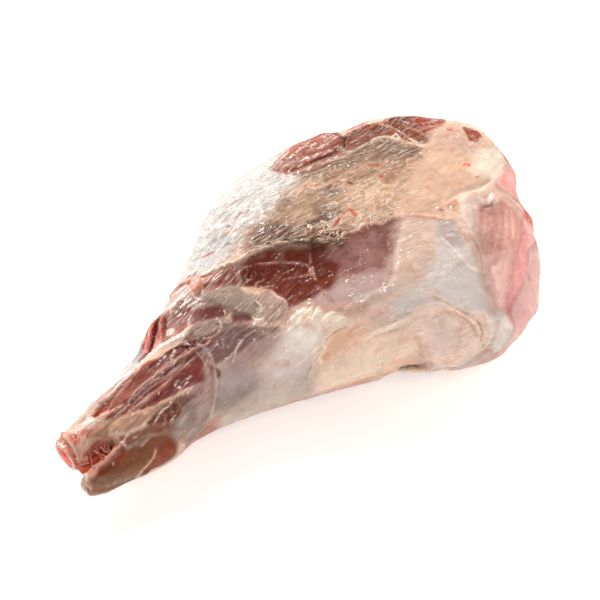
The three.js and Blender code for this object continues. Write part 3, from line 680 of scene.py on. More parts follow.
# the window of bare lean in the thigh, its pink sheet and the shreds along it
patch("window of bare lean", "#611f13 #70341a", "-59,-21 -44,-16 -32,-12 -16,-8 6,9 10,6 24,10 26,6 36,11 "
    "48,13 58,13 62,18 57,27 47,37 35,52 24,56 7,56 -8,50 -13,45 -14,39 -28,36 -25,30 -27,18 -32,9 -39,-2 "
    "-49,-10 -58,-15", soft=1.2, rag=1.2, rise=-.9, lean=1, grain=.15, vary=.6, wet=.4, tooth=.2)
patch("thin start of the window", "#76594f #8e6b62", "-71,-51 -65,-55 -60,-51 -53,-31 -45,-23 -33,-15 "
    "-25,-10 -16,-6 -21,-2 -31,-3 -39,-3 -48,-8 -58,-15 -64,-25 -68,-54 -74,-49", soft=3, rag=3, lean=.5,
    grain=.8, vary=.7, wet=.9, weight=.9)
patch("purple part of the window", "#8d675d #ae847b", "23,8 35,12 42,10 50,12 58,13 62,18 56,26 47,37 42,39 "
    "35,35 33,29 25,23 17,17 17,11", soft=5, rag=4, lean=.6, grain=.35, vary=.8, wet=.9)
patch("shaded lean", "#54251b #682f24", "9,5 14,11 17,17 26,25 34,31 34,36 25,37 18,36 8,35 4,27 5,18 5,11",
    soft=6, rag=2, lean=1, grain=.15, vary=.4, wet=.35, tooth=.15)
patch("thinning edge of the lean", "#ac908a #927871", "35,34 43,35 52,30 42,43 32,54 28,49 26,44 28,38",
    soft=6, rag=3, lean=.4, grain=.3, vary=.6, wet=.9, tooth=.4)
patch("pink sheet over the lean", "#b89a94 #bfa099", "-14,39 -5,38 3,37 10,37 16,38 23,40 30,42 35,48 31,55 "
    "23,59 13,59 5,56 -4,53 -11,48 -14,44", soft=4, rag=1.5, lean=.2, grain=.06, wet=.75, tooth=.12)
patch("bright middle of the pink sheet", "#b09994", "0,40 9,39 17,42 22,45 14,50 3,49 -3,45", soft=7, rag=2,
    grain=.05, tooth=.1)
patch("pink sheet towards the fat", "#c1aaa4 #ac9892", "9,50 18,54 29,54 31,58 21,62 12,62 5,58", soft=4,
    rag=2.5, grain=.3, vary=.6, tooth=.45)
patch("strip of fascia over the lean", "#765343 #8b6555", "-16,-8 -9,-6 0,0 8,5 8,8 5,9 -2,5 -9,-1 -15,-6",
    soft=1.2, rag=1.2, rise=.3, grain=.5, vary=.6)
patch("mauve lean", "#7b504a #a57972", "27,7 43,10 59,17 57,25 47,37 34,43 20,40 7,39 -3,35 1,25 15,17",
    soft=6, rag=2.5, lean=.6, grain=.3, vary=.9, wet=.4, tooth=.2)
patch("shreds over the window", "#784e30 #492615", "17,-7 23,-3 25,5 26,11 25,16 19,14 14,11 10,6 11,0",
    soft=1.4, rag=4, rise=1, grain=.7, vary=.8, wet=1, tooth=1.8, pale=.4)
patch("dark gap under the shreds", "#4a1913", "9,4 12,8 14,13 10,13 6,10", soft=1.6, rag=1.5, rise=-.8,
    lean=1, weight=.5)
patch("shreds along the edge", "#371e0d #230f0b", "-23,-15 -13,-12 -2,-6 7,0 9,5 3,4 -5,-3 -14,-7 -23,-10",
    soft=1.2, rag=2.6, rise=.6, grain=.8, vary=.8, wet=.9, tooth=1.6)
patch("pale shreds by the rump", "#9f615b #78453c", "28,10 36,10 43,8 53,11 61,11 66,13 63,16 51,15 43,14 "
    "37,14 29,13", soft=1.2, rag=3, rise=.5, grain=.6, vary=.7, wet=.9, tooth=1.6)
stroke("edge of the fell over the window", "#bfa08a", "-29,-16,.6 -21,-12,.8 -15,-8,.9 -8,-6,.9 0,-1,.8 "
    "9,4,.7", soft=.6, rag=1, rise=1, tooth=1.2)
patch("deep lean of the window", "#5e2112 #75311e", "-33,-11 -27,-10 -20,-6 -11,4 -1,9 6,18 12,24 14,30 "
    "2,41 -6,39 -14,39 -22,36 -24,30 -26,23 -26,16 -29,9 -35,1 -37,-6", soft=2.5, rag=1.5, lean=.8, grain=.5,
    vary=.6, wet=.35, tooth=.2)
patch("pink veil at the start of the window", "#803d2d #9a5441", "-53,-25 -45,-20 -38,-15 -32,-11 -35,-8 "
    "-38,-3 -43,-7 -51,-11 -59,-15 -57,-21", soft=2, rag=1.5, grain=1, vary=.8, wet=1, pale=.8)
stroke("pale rim of the veil", "#c99f8c", "-60,-16,.5 -57,-21,.7 -53,-24,.6 -49,-22,.3", soft=.7, rise=.8)
stroke("thread at the start of the window", "#c08e80", "-35,-1,.2 -33,-1,.4 -30,1,.2",
    "-39,-1,.2 -36,-2,.4 -33,-1,.3", "-34,8,.3 -31,5,.6 -29,5,.3", "-33,8,.2 -32,10,.5 -29,10,.2",
    "-30,10,.2 -26,14,.4 -23,16,.2", "-27,10,.2 -23,12,.3 -22,12,.2", "-24,-4,.2 -18,1,.35 -10,8,.35 0,19,.3",
    "-3,24,.2 1,21,.4 -1,27,.4 -3,34,.3 -3,45,.2", "-7,23,.2 -2,27,.4", "-42,-5,.2 -40,-4,.3 -38,-4,.2",
    "-35,-11,.2 -30,-8,.4 -27,-6,.3", "-34,-5,.2 -31,-5,.3 -30,-7,.2", soft=.3, rise=.3, weight=.8)
stroke("rolled edge of the fell", "#d2ab9a", "-68,-54,.7 -61,-49,.9 -53,-32,1 -44,-24,1 -33,-16,1 "
    "-24,-12,.8 -16,-8,.6", soft=.8, rag=.5, rise=1.4, tooth=.8)
stroke("red line under the rolled edge", "#a8433a", "-64,-56,.4 -60,-40,.6 -54,-29,.5 -47,-23,.4", soft=.7,
    rise=-.5, weight=.8)
stroke("ragged edge by the rump", "#d3b59d", "26,12,.6 30,10,.8 35,12,.8 41,10,.8 47,11,.9 52,14,.8 "
    "58,13,.8 64,16,.6", soft=.7, rag=1.2, rise=1.1, tooth=1.2)
stroke("thread over the lean", "#a9766a", "-24,-4,.3 -14,5,.4 -6,12,.4 -1,18,.4 -1,22,.4 -3,29,.3",
    "5,12,.3 2,18,.4", "-17,17,.3 -8,23,.35 -3,26,.4", "-5,34,.3 -5,40,.4 -5,46,.3",
    "-3,39,.3 -3,45,.4 -4,50,.3", "12,21,.3 16,19,.4 19,17,.3", soft=.6, rise=.25, wet=1)
patch("thin patch over the lean", "#74493c", "-10,-1 -8,1 -11,7 -13,5", soft=2, rag=1, lean=.8)

# fat and fascia of the near side
patch("cream fat below the window", "#b49183 #ab8a7c", "-29,33 -22,38 -15,42 -11,48 -3,52 5,57 10,63 1,63 "
    "-12,61 -23,61 -33,59 -40,51 -41,42 -35,36", soft=5, rag=3.5, rise=.5, fat=.8, grain=.12, vary=.55,
    wet=.6, tooth=.35)
patch("pale middle of the thigh", "#efe4de", "-46,42 -34,46 -24,56 -25,63 -30,65 -39,58 -46,51", soft=11,
    rag=3, grain=.12, wet=.6, tooth=.35, pale=.1)
patch("grey fascia of the lower thigh", "#e5d3d0", "-49,48 -40,56 -32,66 -36,75 -43,78 -53,70 -59,61 -56,52",
    soft=11, rag=3, grain=.35, vary=.6, wet=.6, tooth=.4, pale=.1)
patch("peach streak", "#efceba", "-21,62 -14,62 -4,64 6,69 2,72 -7,70 -15,68 -21,67", soft=6, rag=2.5, fat=.5,
    grain=.4, vary=.6)
patch("roll of fat along the back", "#edd1bd", "-31,84 -27,76 -19,76 -8,80 9,86 19,86 29,87 30,96 26,104 "
    "16,106 3,107 -10,105 -24,99 -30,94", soft=7, rag=3.5, rise=.6, fat=.7, grain=.12, wet=.55, tooth=.3)
patch("peach hollow", "#e3b598 #e3b59b", "-25,67 -17,67 -7,70 -4,76 -11,76 -20,74 -27,74", soft=5, rag=2,
    rise=-.7, fat=.4, grain=.15, vary=.4, wet=.5, tooth=.25)
patch("orange fat", "#efc5af", "-5,76 1,75 9,77 13,83 7,84 -2,82", soft=8, rag=2.5, fat=.5)
patch("pink patch on the fat", "#d6b8ae #c4a99f", "5,71 13,67 25,68 26,75 20,80 12,78", soft=8, rag=3, fat=.3,
    grain=.4, vary=.6)
patch("blue patch", "#b3b0bd #cfc4c0", "24,71 32,68 41,70 39,75 32,77 25,76", soft=7, rag=2.5, grain=.3,
    vary=.6)
# whitish fat over the flap, its whiteness partly a painted sheen
patch("glossy fat above the flap", "#efe6de", "16,91 27,89 30,95 27,101 19,101", soft=5, rag=2, fat=.6,
    grain=.05, wet=.9, tooth=.2)
# the orange strokes along the lower edges are a painted glow, light shining warm through the thin fat there
stroke("orange lower edge", "#e0977b", "-24,103,1.5 -10,110,2.4 -2,113,2.6 5,111,2.4 12,110,1.6", soft=3,
    fat=.5)
stroke("orange edge by the flap", "#dc9878", "9,105,1.2 16,106,1.6 23,105,1.8 27,104,1", soft=2.5, fat=.5)
stroke("orange edge of the calf", "#d9a68e", "-56,89,1 -47,95,1.6 -36,100,1.4", soft=2.5)
patch("hollow above the flap", "#efbdab #efbdac", "14,111 22,109 29,108 31,114 24,114 18,113", soft=2, rag=1,
    rise=-.8)
patch("flap of fat", "#e8c9b3 #d1b59f", "11,111 18,112 25,116 35,116 34,122 31,125 24,121 17,117", soft=1.2,
    rag=.8, rise=1.2, fat=.5)
# the dark line in the crease under the flap is a painted shadow
stroke("crease of the flap", "#59412f", "14,112,.4 19,113,.7 26,116,.7 32,116,.5", soft=.8, rise=-1.8)
stroke("fold down to the flap", "#e8d8c8", "30,93,.8 29,100,1.2 29,107,1 35,115,.8", rise=1.2, fat=.3)
# the darker stroke next to the raised fold down to the flap is painted shade
stroke("fold beside it", "#a68d7e", "30,97,.6 31,103,.9 32,110,.6", soft=1.2, rise=-.8)
stroke("fold in the cream fat", "#f0dfc9", "-19,42,.5 -24,43,.7 -28,45,.5", "-16,44,.5 -20,46,.7 -24,48,.5",
    "-13,46,.5 -17,48,.6 -21,50,.5", "-11,52,.4 -15,54,.5 -18,55,.4", soft=.9, rise=.5, fat=.6)
stroke("fold of the near side", "#f1dfcf", "-1,79,.8 7,79,1.2 19,81,1.2 29,81,1.2 36,79,.8",
    "16,80,.8 23,80,1.1 30,78,.8", "-29,62,.8 -28,66,1.1 -31,67,.8", "-26,67,.8 -24,67,1.1",
    "-28,70,.7 -27,73,.9", "-37,75,.5 -34,72,.7 -31,69,.5", rise=.8, fat=.6)
patch("cream sheet beside the window", "#cbb1a3 #d3b8a9", "59,18 63,13 75,21 80,30 67,45 47,58 36,65 29,67 "
    "30,56 42,40", soft=5, rag=5, fat=.5, vary=.6, wet=.5, tooth=.3)

# the rump: fat, silverskin, the cut face and its seams
patch("cream fat of the rump", "#cca994 #c7a58f", "115,-25 134,-34 148,-34 157,-24 144,-10 152,-4 165,-9 "
    "169,3 165,17 161,24 147,21 137,23 126,28 119,27 101,23 92,27 90,35 83,28 64,13 70,4 88,-9 102,-18",
    soft=5, rag=3.5, rise=.5, fat=.9, grain=.15, wet=.5, tooth=.35)
patch("pale top of the rump fat", "#be9c8d #b99583", "134,-34 148,-34 157,-24 144,-10 150,-2 148,4 135,0 "
    "127,-12 121,-20 120,-26", soft=6, rag=3, fat=.6, vary=.6, tooth=.35)
patch("pale fat by the lobe", "#e0cebd", "139,3 158,7 160,19 147,21 135,22 126,16 127,7", soft=7, rag=3,
    fat=.8, grain=.1, tooth=.25)
patch("orange tint of the rump fat", "#d1ad91", "113,-14 127,-10 132,2 124,7 112,1 105,-7", soft=8, rag=4,
    fat=.8, tooth=.3, weight=.7)
patch("red spot at the top", "#84301d #9c4a34", "156,-23 160,-18 165,-10 153,-4 146,-9 149,-14", rag=1.2,
    lean=1)
patch("red at the rim", "#a8483c", "167,9 168,16 163,22 162,17 166,12", rag=.8, lean=1)
stroke("blood spot", "#d46242", "126,3,1.3 128,5,1.3", "#b9523f 143,-28,1.3 144,-26,1.3",
    "#8a4a44 112,30,.9 114,32,.9", "#a94c46 87,22,.9 88,23,.9", "#cf8a78 124,15,.8 126,16,.8",
    "#c06a58 138,-18,.7 140,-17,.7", soft=.8)
patch("blue silverskin", "#cec4c0 #d9ceca", "79,30 89,35 85,47 82,59 77,73 77,83 75,92 64,92 58,87 50,75 "
    "45,68 35,71 25,75 25,69 36,64 47,59 65,46", soft=4, rag=2.5, grain=.12, vary=.6, tooth=.2)
patch("tan top of the silverskin", "#ae9e9a #c0aeaa", "79,30 88,34 85,46 79,51 75,47 73,40", soft=4, rag=2,
    tooth=.25)
patch("lower fat of the rump", "#cdbdb8", "30,75 44,70 50,76 58,87 72,94 73,100 67,110 57,118 47,127 33,115 "
    "30,99 26,88", soft=3, rag=2.5, rise=.4, fat=.7, grain=.12, vary=.6, wet=.6, tooth=.3)
patch("pale grey of the lower rump", "#e2ccc0 #dac5b9", "32,91 43,88 53,99 56,109 48,115 36,108", soft=7,
    rag=3, grain=.15, tooth=.35)
patch("grey below the fat", "#bc9e98 #c7a9a1", "25,96 30,99 33,115 47,127 59,118 70,115 81,112 83,119 "
    "72,128 57,138 42,132 27,116", soft=3, rag=1.5, vary=.6)
patch("pink face of the rump", "#e1aaa0", "118,37 136,45 145,58 129,76 127,93 111,113 99,119 85,124 76,133 "
    "70,132 72,123 81,112 75,95 79,77 91,49 104,36", soft=1.5, rag=1, lean=.5, grain=.15, wet=.45, tooth=.15)
patch("brown cut muscle", "#eeb4a4 #efb5a7", "104,37 118,37 127,40 132,48 127,58 118,63 107,65 99,65 91,65 "
    "86,63 89,53 96,44", soft=5, rag=3, rise=-.9, lean=.6, grain=.5, turn=80, vary=.6, wet=.35, tooth=.25)
patch("darkest of the cut muscle", "#a9776b #ce968b", "104,37 117,38 114,46 102,52 93,58 89,54 95,45", soft=4,
    rag=3, lean=.6, grain=.5, turn=80, vary=.6, wet=.3, tooth=.2)
stroke("pale fibre of the cut muscle", "#cfa094", "113,42,.4 103,49,.7 92,57,.6 86,61,.4",
    "122,43,.4 112,50,.8 101,59,.8 92,66,.5", "127,47,.4 115,55,.8 104,64,.7 97,70,.4",
    "127,53,.4 117,60,.8 107,68,.7 99,77,.4", soft=1.4, rise=.1, grain=.5, turn=80, weight=.45)
stroke("dark fibre of the cut muscle", "#94685c", "113,52,.2 106,58,.3 100,63,.2",
    "113,45,.2 103,53,.4 95,59,.2", "112,61,.2 104,70,.3 97,77,.2", soft=.9, rise=-.1, grain=.5, turn=80,
    weight=.5)
patch("pale pink of the cut face", "#e7b8af", "86,64 99,65 106,65 106,72 93,85 84,95 78,96 75,92 77,83 81,72",
    soft=4, rag=2, lean=.3, grain=.5, turn=80, wet=.5, tooth=.15)
patch("striped cut muscle", "#e9a8a3", "129,56 144,59 149,74 129,74 119,74 112,85 103,90 91,95 84,100 82,96 "
    "91,84 100,75 111,67", soft=2.5, rag=1.5, lean=.8, grain=.7, turn=80, vary=.6, wet=.5, tooth=.2)
patch("dark corner of the cut muscle", "#cc4d36", "139,53 149,61 147,70 137,61", soft=1.5, rag=1, lean=1)
patch("pale lower face of the rump", "#ddaeaa", "119,74 130,76 127,93 111,113 99,118 86,124 77,133 70,132 "
    "73,123 81,114 84,108 84,100 96,93 111,85", soft=1.2, rag=.6, lean=.6, grain=.3, turn=60, vary=.45,
    wet=.5, tooth=.1)
patch("pink lobe of the rump", "#e8a9a1", "137,24 150,22 158,25 158,34 152,41 142,46 138,43 135,35 132,28",
    soft=1.2, rag=.6, rise=.4, lean=.8, grain=.4, turn=80, wet=.5, tooth=.12)
patch("membrane under the lobe", "#e6baac", "129,27 134,33 136,40 135,50 133,56 132,48 127,40 118,37", soft=2,
    rag=1)
patch("pale membrane by the seam", "#dac4bb", "100,24 111,24 118,31 117,35 107,36 101,39 93,47 88,55 85,64 "
    "79,77 80,71 83,60 87,46 92,35", soft=1.5, rag=1, rise=.3)
patch("white membrane at the foot of the rump", "#dfd4cc #cdbab0", "73,95 78,95 81,103 83,112 79,119 73,124 "
    "67,120 67,111 72,103", soft=1.2, rag=.8, rise=.6, grain=.4, vary=.4)
stroke("cord of fat down the seam", "#c09782", "90,26,2 96,22,2.4 101,22,2.2", rise=1.6, fat=1)
stroke("long cord of fat", "#c8ac9c", "90,26,1.2 89,31,2.2 90,35,2.4 88,41,2.4 86,48,2.2 84,55,2 82,63,1.9 "
    "80,70,1.7 77,78,1.3 77,83,.8", soft=.9, rise=2.2, fat=1)
stroke("thin cord beside it", "#dcb99f", "93,40,.6 90,49,.8 87,58,.8 81,69,.7 79,77,.5", soft=.7, rise=1,
    fat=.6)
stroke("shadow beside the cord", "#b79a8c", "88,48,.5 86,57,.7 82,65,.7 80,73,.5", rise=-.8)
stroke("lump at the top of the seam", "#efd3c7", "123,32,3 122,34,3.6 119,35,2.6", rise=2.4, fat=1)
stroke("ridge up to the lobe", "#edc5b8", "150,22,1.6 138,25,2.2 130,26,2.8 123,26,2.6", soft=1.2, rise=1.6,
    fat=1)
stroke("ridge of fat lumps", "#ecccba", "121,27,2.2 115,25,2.6 110,23,2 102,23,2.2", soft=1.2, rise=1.4,
    fat=1)
stroke("hollow over the ridge", "#c9ad9d", "132,24,1 122,22,1.4 113,20,1.4 105,18,1.4 97,19,1.2", soft=1.6,
    rise=-.9, fat=.6)
stroke("shadow of the lump", "#9b7062", "108,36,.7 113,35,.9 118,37,.8", soft=.9, rise=-.8)
stroke("edge of the rump fat", "#d8a48b", "64,13,.6 75,21,.8 83,28,.8 88,32,.6", soft=.8, rag=.5, rise=.5,
    fat=.6)
stroke("seam of the pink lobe", "#ecd3c5", "131,26,.6 135,35,.8 136,45,.8 138,57,.6", soft=.7, rag=.5,
    rise=.4, weight=.5)
stroke("seam of the lower face", "#f2dcd5", "123,73,.8 116,80,.7 106,90,.7 93,95,.7 86,101,.6", soft=.6,
    rag=.5, rise=-.5, weight=.5)
stroke("rim of the silverskin", "#e6d6c8", "74,41,.5 75,53,.7 75,63,.8 77,67,.7", soft=.8, rag=.5, rise=.6)
stroke("second rim of the silverskin", "#d9c6b6", "45,68,.5 50,75,.7 58,87,.8 72,94,.6", rag=.5, rise=.5)
stroke("peach fold of the lower rump", "#e8cebf", "30,81,1.2 40,77,1.6 48,84,1.6 54,95,1.4 60,106,1", soft=2,
    rise=-.6, fat=.5)
stroke("second fold of the lower rump", "#c79a80", "51,79,.6 59,91,1 62,98,1 61,108,.8", rise=-.9, fat=.5)
stroke("raised fold of the lower rump", "#f0dcc8", "48,81,.8 57,92,1.2 60,99,1.2 60,106,.8", rise=.9, fat=.6,
    weight=.5)
stroke("orange crease of the rump", "#c97a5b", "60,102,.5 61,108,.8 61,113,.5", soft=.8, rise=-.9)
stroke("pale line round the rump", "#eee0d2", "31,112,.5 46,125,.7 57,118,.7 70,110,.6 82,107,.5", soft=.8,
    rag=.5, rise=.4, weight=.5)
patch("brown fade of the cut face", "#c2928a #edb3a9", "101,40 109,36 116,37 123,40 122,48 110,56 100,62 "
    "92,62 88,56 90,50", soft=6, rag=1.5, lean=.4, grain=.9, turn=80, vary=.9, wet=.3, tooth=.1, weight=.65)
patch("brown streaks of the cut face", "#ecc6bb #efcfc8", "100,39 105,39 97,53 94,67 88,82 78,91 72,90 "
    "75,75 84,58", soft=5, rag=2, lean=.4, grain=1, turn=80, vary=.9, wet=.3, tooth=.1, weight=.5)
patch("cream fat at the foot of the rump", "#efd2c5 #e3c8b9", "18,87 29,79 40,75 49,81 58,88 67,93 70,99 "
    "67,107 61,114 51,122 40,125 29,114 22,101", soft=3, rag=2.5, fat=.4, grain=.6, vary=.9, wet=.7, tooth=.7,
    pale=.2)
patch("bright fat at the foot of the rump", "#d5b39e #caa78e", "16,91 22,89 29,94 31,102 28,112 20,108 "
    "14,100", soft=2.5, rag=1.5, vary=.6, wet=.9, tooth=.3)
patch("grey shade at the foot of the rump", "#ddc6bb #efd6ca", "38,88 47,87 52,94 49,105 40,109 34,101",
    soft=4, rag=2, vary=.7, wet=.6, tooth=.3)
# small folds at the foot of the rump: pale strokes are painted light on their crests, orange-brown strokes
# painted shadow beside them
stroke("fold at the foot of the rump", "#f0dccb", "37,75,.3 48,77,.6 55,87,.6 58,98,.5 60,112,.4", soft=.7,
    rise=.3, fat=.4)
stroke("fold at the foot of the rump", "#cf9a80", "52,84,.3 57,94,.5 59,106,.4",
    "#f2e2d2 59,92,.3 61,101,.5 62,111,.4", soft=.7, rise=.6, fat=.4)
stroke("fold at the foot of the rump", "#f3e6da", "68,90,.3 68,98,.6 66,108,.5 61,117,.3", soft=.7, rise=.3,
    fat=.4)
stroke("fold at the foot of the rump", "#c98a6f", "62,96,.3 62,103,.4 60,109,.3",
    "#e9d3c2 32,94,.3 39,92,.4 45,98,.3", soft=.7, rise=.6, fat=.4)
stroke("fold at the foot of the rump", "#eed9c8", "37,117,.3 48,113,.5 59,108,.4", soft=.7, rise=.3, fat=.4)
stroke("fold at the foot of the rump", "#d5a58d", "38,85,.3 48,83,.4 53,89,.3",
    "#f1dfcf 27,84,.3 34,83,.4 40,87,.3", soft=.7, rise=.6, fat=.4)

# rolls of fat on the near side, and the calf
patch("bright cream of the thigh", "#efe3da #e7dcd3", "-40,46 -29,46 -20,53 -21,60 -28,62 -36,58 -44,53",
    soft=5, rag=3, grain=.3, vary=.6, wet=.9, tooth=.3)
patch("yellow fat under the window", "#e2cfbf #edd9c9", "-29,41 -22,42 -12,51 -4,58 -1,64 -8,65 -18,59 "
    "-25,51 -31,45", soft=3, rag=2.5, fat=.4, grain=.5, vary=.8, tooth=.6)
patch("peach hollow of the near side", "#e1b99d #eec4a9", "-26,68 -21,65 -14,64 -6,67 3,69 4,73 -3,74 "
    "-10,76 -16,78 -22,76", soft=6, rag=2.5, rise=-1.2, grain=.3, vary=.7, wet=.6, tooth=.3)
patch("cream roll of the near side", "#eed4c0 #efd5c0", "-20,78 -9,80 3,82 16,88 25,90 28,97 22,104 14,108 "
    "3,105 -9,102 -22,96 -31,91 -36,90 -32,81 -26,78", soft=7, rag=3, rise=.8, fat=.3, grain=.4, vary=.8,
    wet=.9, tooth=.3)
# small folds of the near side: pale strokes are painted light on their crests, orange-brown strokes painted
# shadow beside them
stroke("near side fold", "#f6ead9", "-29,41,.2 -24,41,.5 -20,41,.3", "#f4e6d2 -27,45,.2 -22,44,.5 -17,44,.3",
    "-23,49,.2 -18,48,.5 -13,48,.3", "#f3e4d0 -19,53,.2 -13,53,.5 -7,54,.3",
    "#f4e8d8 -15,58,.2 -9,58,.5 -2,61,.3", "#efd9c3 -22,63,.3 -18,62,.6 -10,62,.5 -2,66,.3",
    "#c58a66 -20,63,.2 -13,63,.4 -6,65,.3", "#f3e6d8 -32,65,.3 -29,63,.6 -23,64,.6 -22,67,.4",
    "#f0e0d0 -31,69,.2 -26,69,.5 -23,68,.3", "#f2dcc6 -5,71,.2 2,71,.4 7,76,.3",
    "#eed2ba 0,77,.2 5,77,.4 11,81,.3", "#e8cfba -40,80,.2 -36,76,.5 -32,74,.3",
    "#d8a78c -43,80,.2 -38,75,.4 -33,70,.3", "#f6ebda -22,90,.2 -12,96,.4 -1,99,.3",
    "#f1dac5 12,81,.2 19,82,.5 25,80,.3", "#e9cfba 17,75,.2 23,74,.5 31,75,.4",
    "#f0e6dd -41,62,.2 -36,63,.4 -32,62,.3", "#efe3d6 -36,45,.2 -33,44,.4 -27,45,.3", soft=.6, rise=.7,
    fat=.4)
patch("grey fascia of the calf", "#ab9a9a #baa8a8", "-84,28 -74,29 -66,34 -62,45 -60,55 -65,59 -75,55 "
    "-85,47 -90,41", soft=7, rag=2.5, grain=.3, vary=.6, wet=.6, tooth=.4)
patch("pink lower thigh", "#a18681 #b1948e", "-68,31 -54,30 -44,34 -40,41 -46,45 -56,45 -65,42 -74,38 "
    "-80,34 -83,29", soft=6, rag=2, lean=.3, grain=.3, vary=.6, wet=.6, tooth=.35)
patch("cream back of the calf", "#ccbaae #bdaca1", "-67,53 -55,59 -43,67 -34,71 -36,91 -53,87 -69,79 -84,70 "
    "-92,67 -91,50 -81,54", soft=6, rag=3, vary=.6, wet=.5, tooth=.4)
patch("violet shade of the calf", "#6b5b58", "-89,42 -78,46 -68,51 -68,56 -77,55 -88,51 -92,47", soft=7,
    rag=3, grain=.3, weight=.6)

# the knee
patch("mauve membrane under the plates", "#764e45 #643f38", "-94,-1 -86,-4 -76,-3 -67,3 -57,13 -50,24 "
    "-51,32 -60,31 -70,25 -80,22 -87,23 -88,17 -87,11 -91,6", soft=1.5, rag=1, grain=.5, vary=.6, wet=.5,
    tooth=.4, pale=.2)
patch("pad of the knee", "#826e61 #917c6f", "-62,-16 -58,-15 -52,-12 -44,-9 -40,-4 -40,-1 -38,6 -34,12 "
    "-31,18 -37,20 -39,24 -43,23 -49,17 -52,13 -55,6 -58,-1 -62,-9 -63,-13", soft=1.6, rag=1.4, rise=.5,
    grain=.5, vary=.8, wet=.25, tooth=.3, pale=.15)
patch("pink flap of the knee pad", "#a5887c #927164", "-34,12 -29,14 -27,16 -28,21 -27,25 -25,30 -27,33 "
    "-31,35 -37,34 -41,32 -42,27 -38,24 -36,19", rag=1, rise=.7, grain=.5, vary=.6, wet=.25, tooth=.3,
    pale=.15)
stroke("edge of the knee pad flap", "#dfcabf", "-27,17,.3 -27,21,.5 -27,25,.5 -25,30,.6 -27,34,.5 -31,35,.3",
    soft=.5, rise=.8, weight=.5)
stroke("fold of the knee pad", "#d3c4b0", "-38,16,.3 -38,20,.5 -40,23,.5 -44,23,.4", soft=.5, rise=.6)
stroke("crease of the knee pad", "#8d8172", "-40,15,.2 -40,19,.4 -41,22,.3", soft=.5, rise=-.5)
patch("knee plate", "#713b35 #834f49", "-72,-16 -68,-14 -62,-7 -58,-2 -55,3 -55,7 -58,7 -63,3 -70,-3 -76,-7 "
    "-75,-13", soft=1.7, rag=.8, rise=-.3, grain=.4, wet=.35, tooth=.1)
patch("small plate of the knee", "#6d3433 #7f4848", "-55,9 -51,12 -48,17 -46,22 -48,23 -53,19 -57,14",
    soft=1.5, rag=.8, rise=-.3, wet=.35, tooth=.1)
patch("cream band under the knee plate", "#85695f #907065", "-80,-7 -73,-6 -66,0 -59,8 -58,14 -51,21 -45,29 "
    "-38,37 -40,39 -46,35 -54,22 -62,15 -69,12 -76,5 -79,-1", soft=1.5, rag=1.2, grain=.9, vary=.7, wet=.25,
    tooth=.3, pale=.15)
patch("purple membrane beside the knee", "#71514f #85615e", "-77,13 -70,14 -63,16 -56,21 -51,28 -46,36 "
    "-50,36 -55,32 -62,32 -70,30 -77,27 -81,24 -79,19", soft=2, rag=.8, grain=.5, vary=.6, wet=.35, tooth=.1)
stroke("ring round the dark spot", "#8f7370", "-71,18,1.5 -70,20,1.5", soft=.7, rise=-.1)
stroke("dark spot", "#65302a", "-71,18,.9 -70,19,.9", soft=.4, rise=-.4)
stroke("fibre from the crescent to the knee", "#bfa498", "-85,30,.4 -81,27,.5 -75,28,.5 -68,29,.5 -61,28,.5 "
    "-55,27,.4 -49,29,.3", soft=.5, rag=.3, rise=.5)
stroke("brown stripe under the knee", "#795043", "-83,0,.5 -77,5,.8 -71,9,.7 -65,11,.4", soft=.8, rise=-.4)
stroke("thread of the knee", "#efe6dc", "-46,21,.3 -45,25,.5 -41,27,.3",
    "#d8c6b8 -46,23,.2 -44,27,.4 -41,29,.2", "#d9c8b5 -62,5,.2 -63,9,.4 -66,10,.2",
    "#6c4a3c -61,7,.2 -61,11,.4 -63,12,.2", "#c9b29f -62,7,.2 -60,9,.35 -59,12,.2",
    "#f0e2cc -57,3,.3 -57,5,.4", "#d5c0b6 -70,32,.2 -65,29,.35 -60,27,.2", "#ecdac8 -68,0,.2 -69,0,.3",
    soft=.35, rise=.5)
stroke("orange speck", "#c08a6c", "-69,46,.4 -67,48,.5", "-66,49,.4 -66,52,.5", "-63,51,.4 -64,55,.5",
    "-61,53,.4 -60,56,.4", soft=.6, rise=.2, weight=.7)

# the cut muscle over the knee and its slips
patch("front edge of the shin", "#af837c #d4f8ff", "-172,-30 -168,-15 -150,-13 -130,-13 -112,-13 -104,-22 "
    "-106,-34 -140,-32", soft=1.5, rag=1, grain=1, vary=.6, wet=.5, pale=.25)
patch("far edge of the cut muscle", "#808080 #a0a0a0", "-114,-18 -104,-34 -88,-36 -76,-40 -66,-47 -70,-60 "
    "-90,-60 -112,-44", soft=1.5, rag=1, grain=.9, vary=.6, wet=.5, pale=.25)
patch("wet front of the knee", "#b28d85 #8a4b3d", "-88,-39 -84,-40 -78,-42 -74,-49 -68,-53 -65,-49 -61,-44 "
    "-59,-39 -61,-28 -64,-20 -62,-15 -62,-10 -65,-9 -68,-15 -70,-17 -74,-26 -77,-31 -80,-35 -85,-37", rag=1.2,
    grain=1, vary=.75, wet=1.1, tooth=.8, pale=.6)
patch("cut muscle of the knee", "#6c3126 #88554a", "-80,-34 -77,-30 -74,-26 -70,-19 -72,-15 -75,-14 -79,-10 "
    "-84,-10 -89,-9 -93,-11 -96,-14 -92,-20 -89,-24 -87,-28 -83,-30", soft=.9, rag=.8, lean=.2, grain=.9,
    vary=.75, wet=.5, pale=.25)
patch("dark back of the cut muscle", "#7c3324 #9a5544", "-85,-11 -82,-14 -77,-14 -73,-18 -71,-18 -74,-14 "
    "-76,-12 -79,-9 -83,-9", soft=1.2, rag=.8, rise=-.5, grain=.9, wet=.5)
patch("pale lump of the cut muscle", "#c2a093", "-88,-23 -86,-22 -84,-19 -85,-15 -88,-13 -90,-17", soft=.8,
    rag=.5, rise=.7, wet=1)
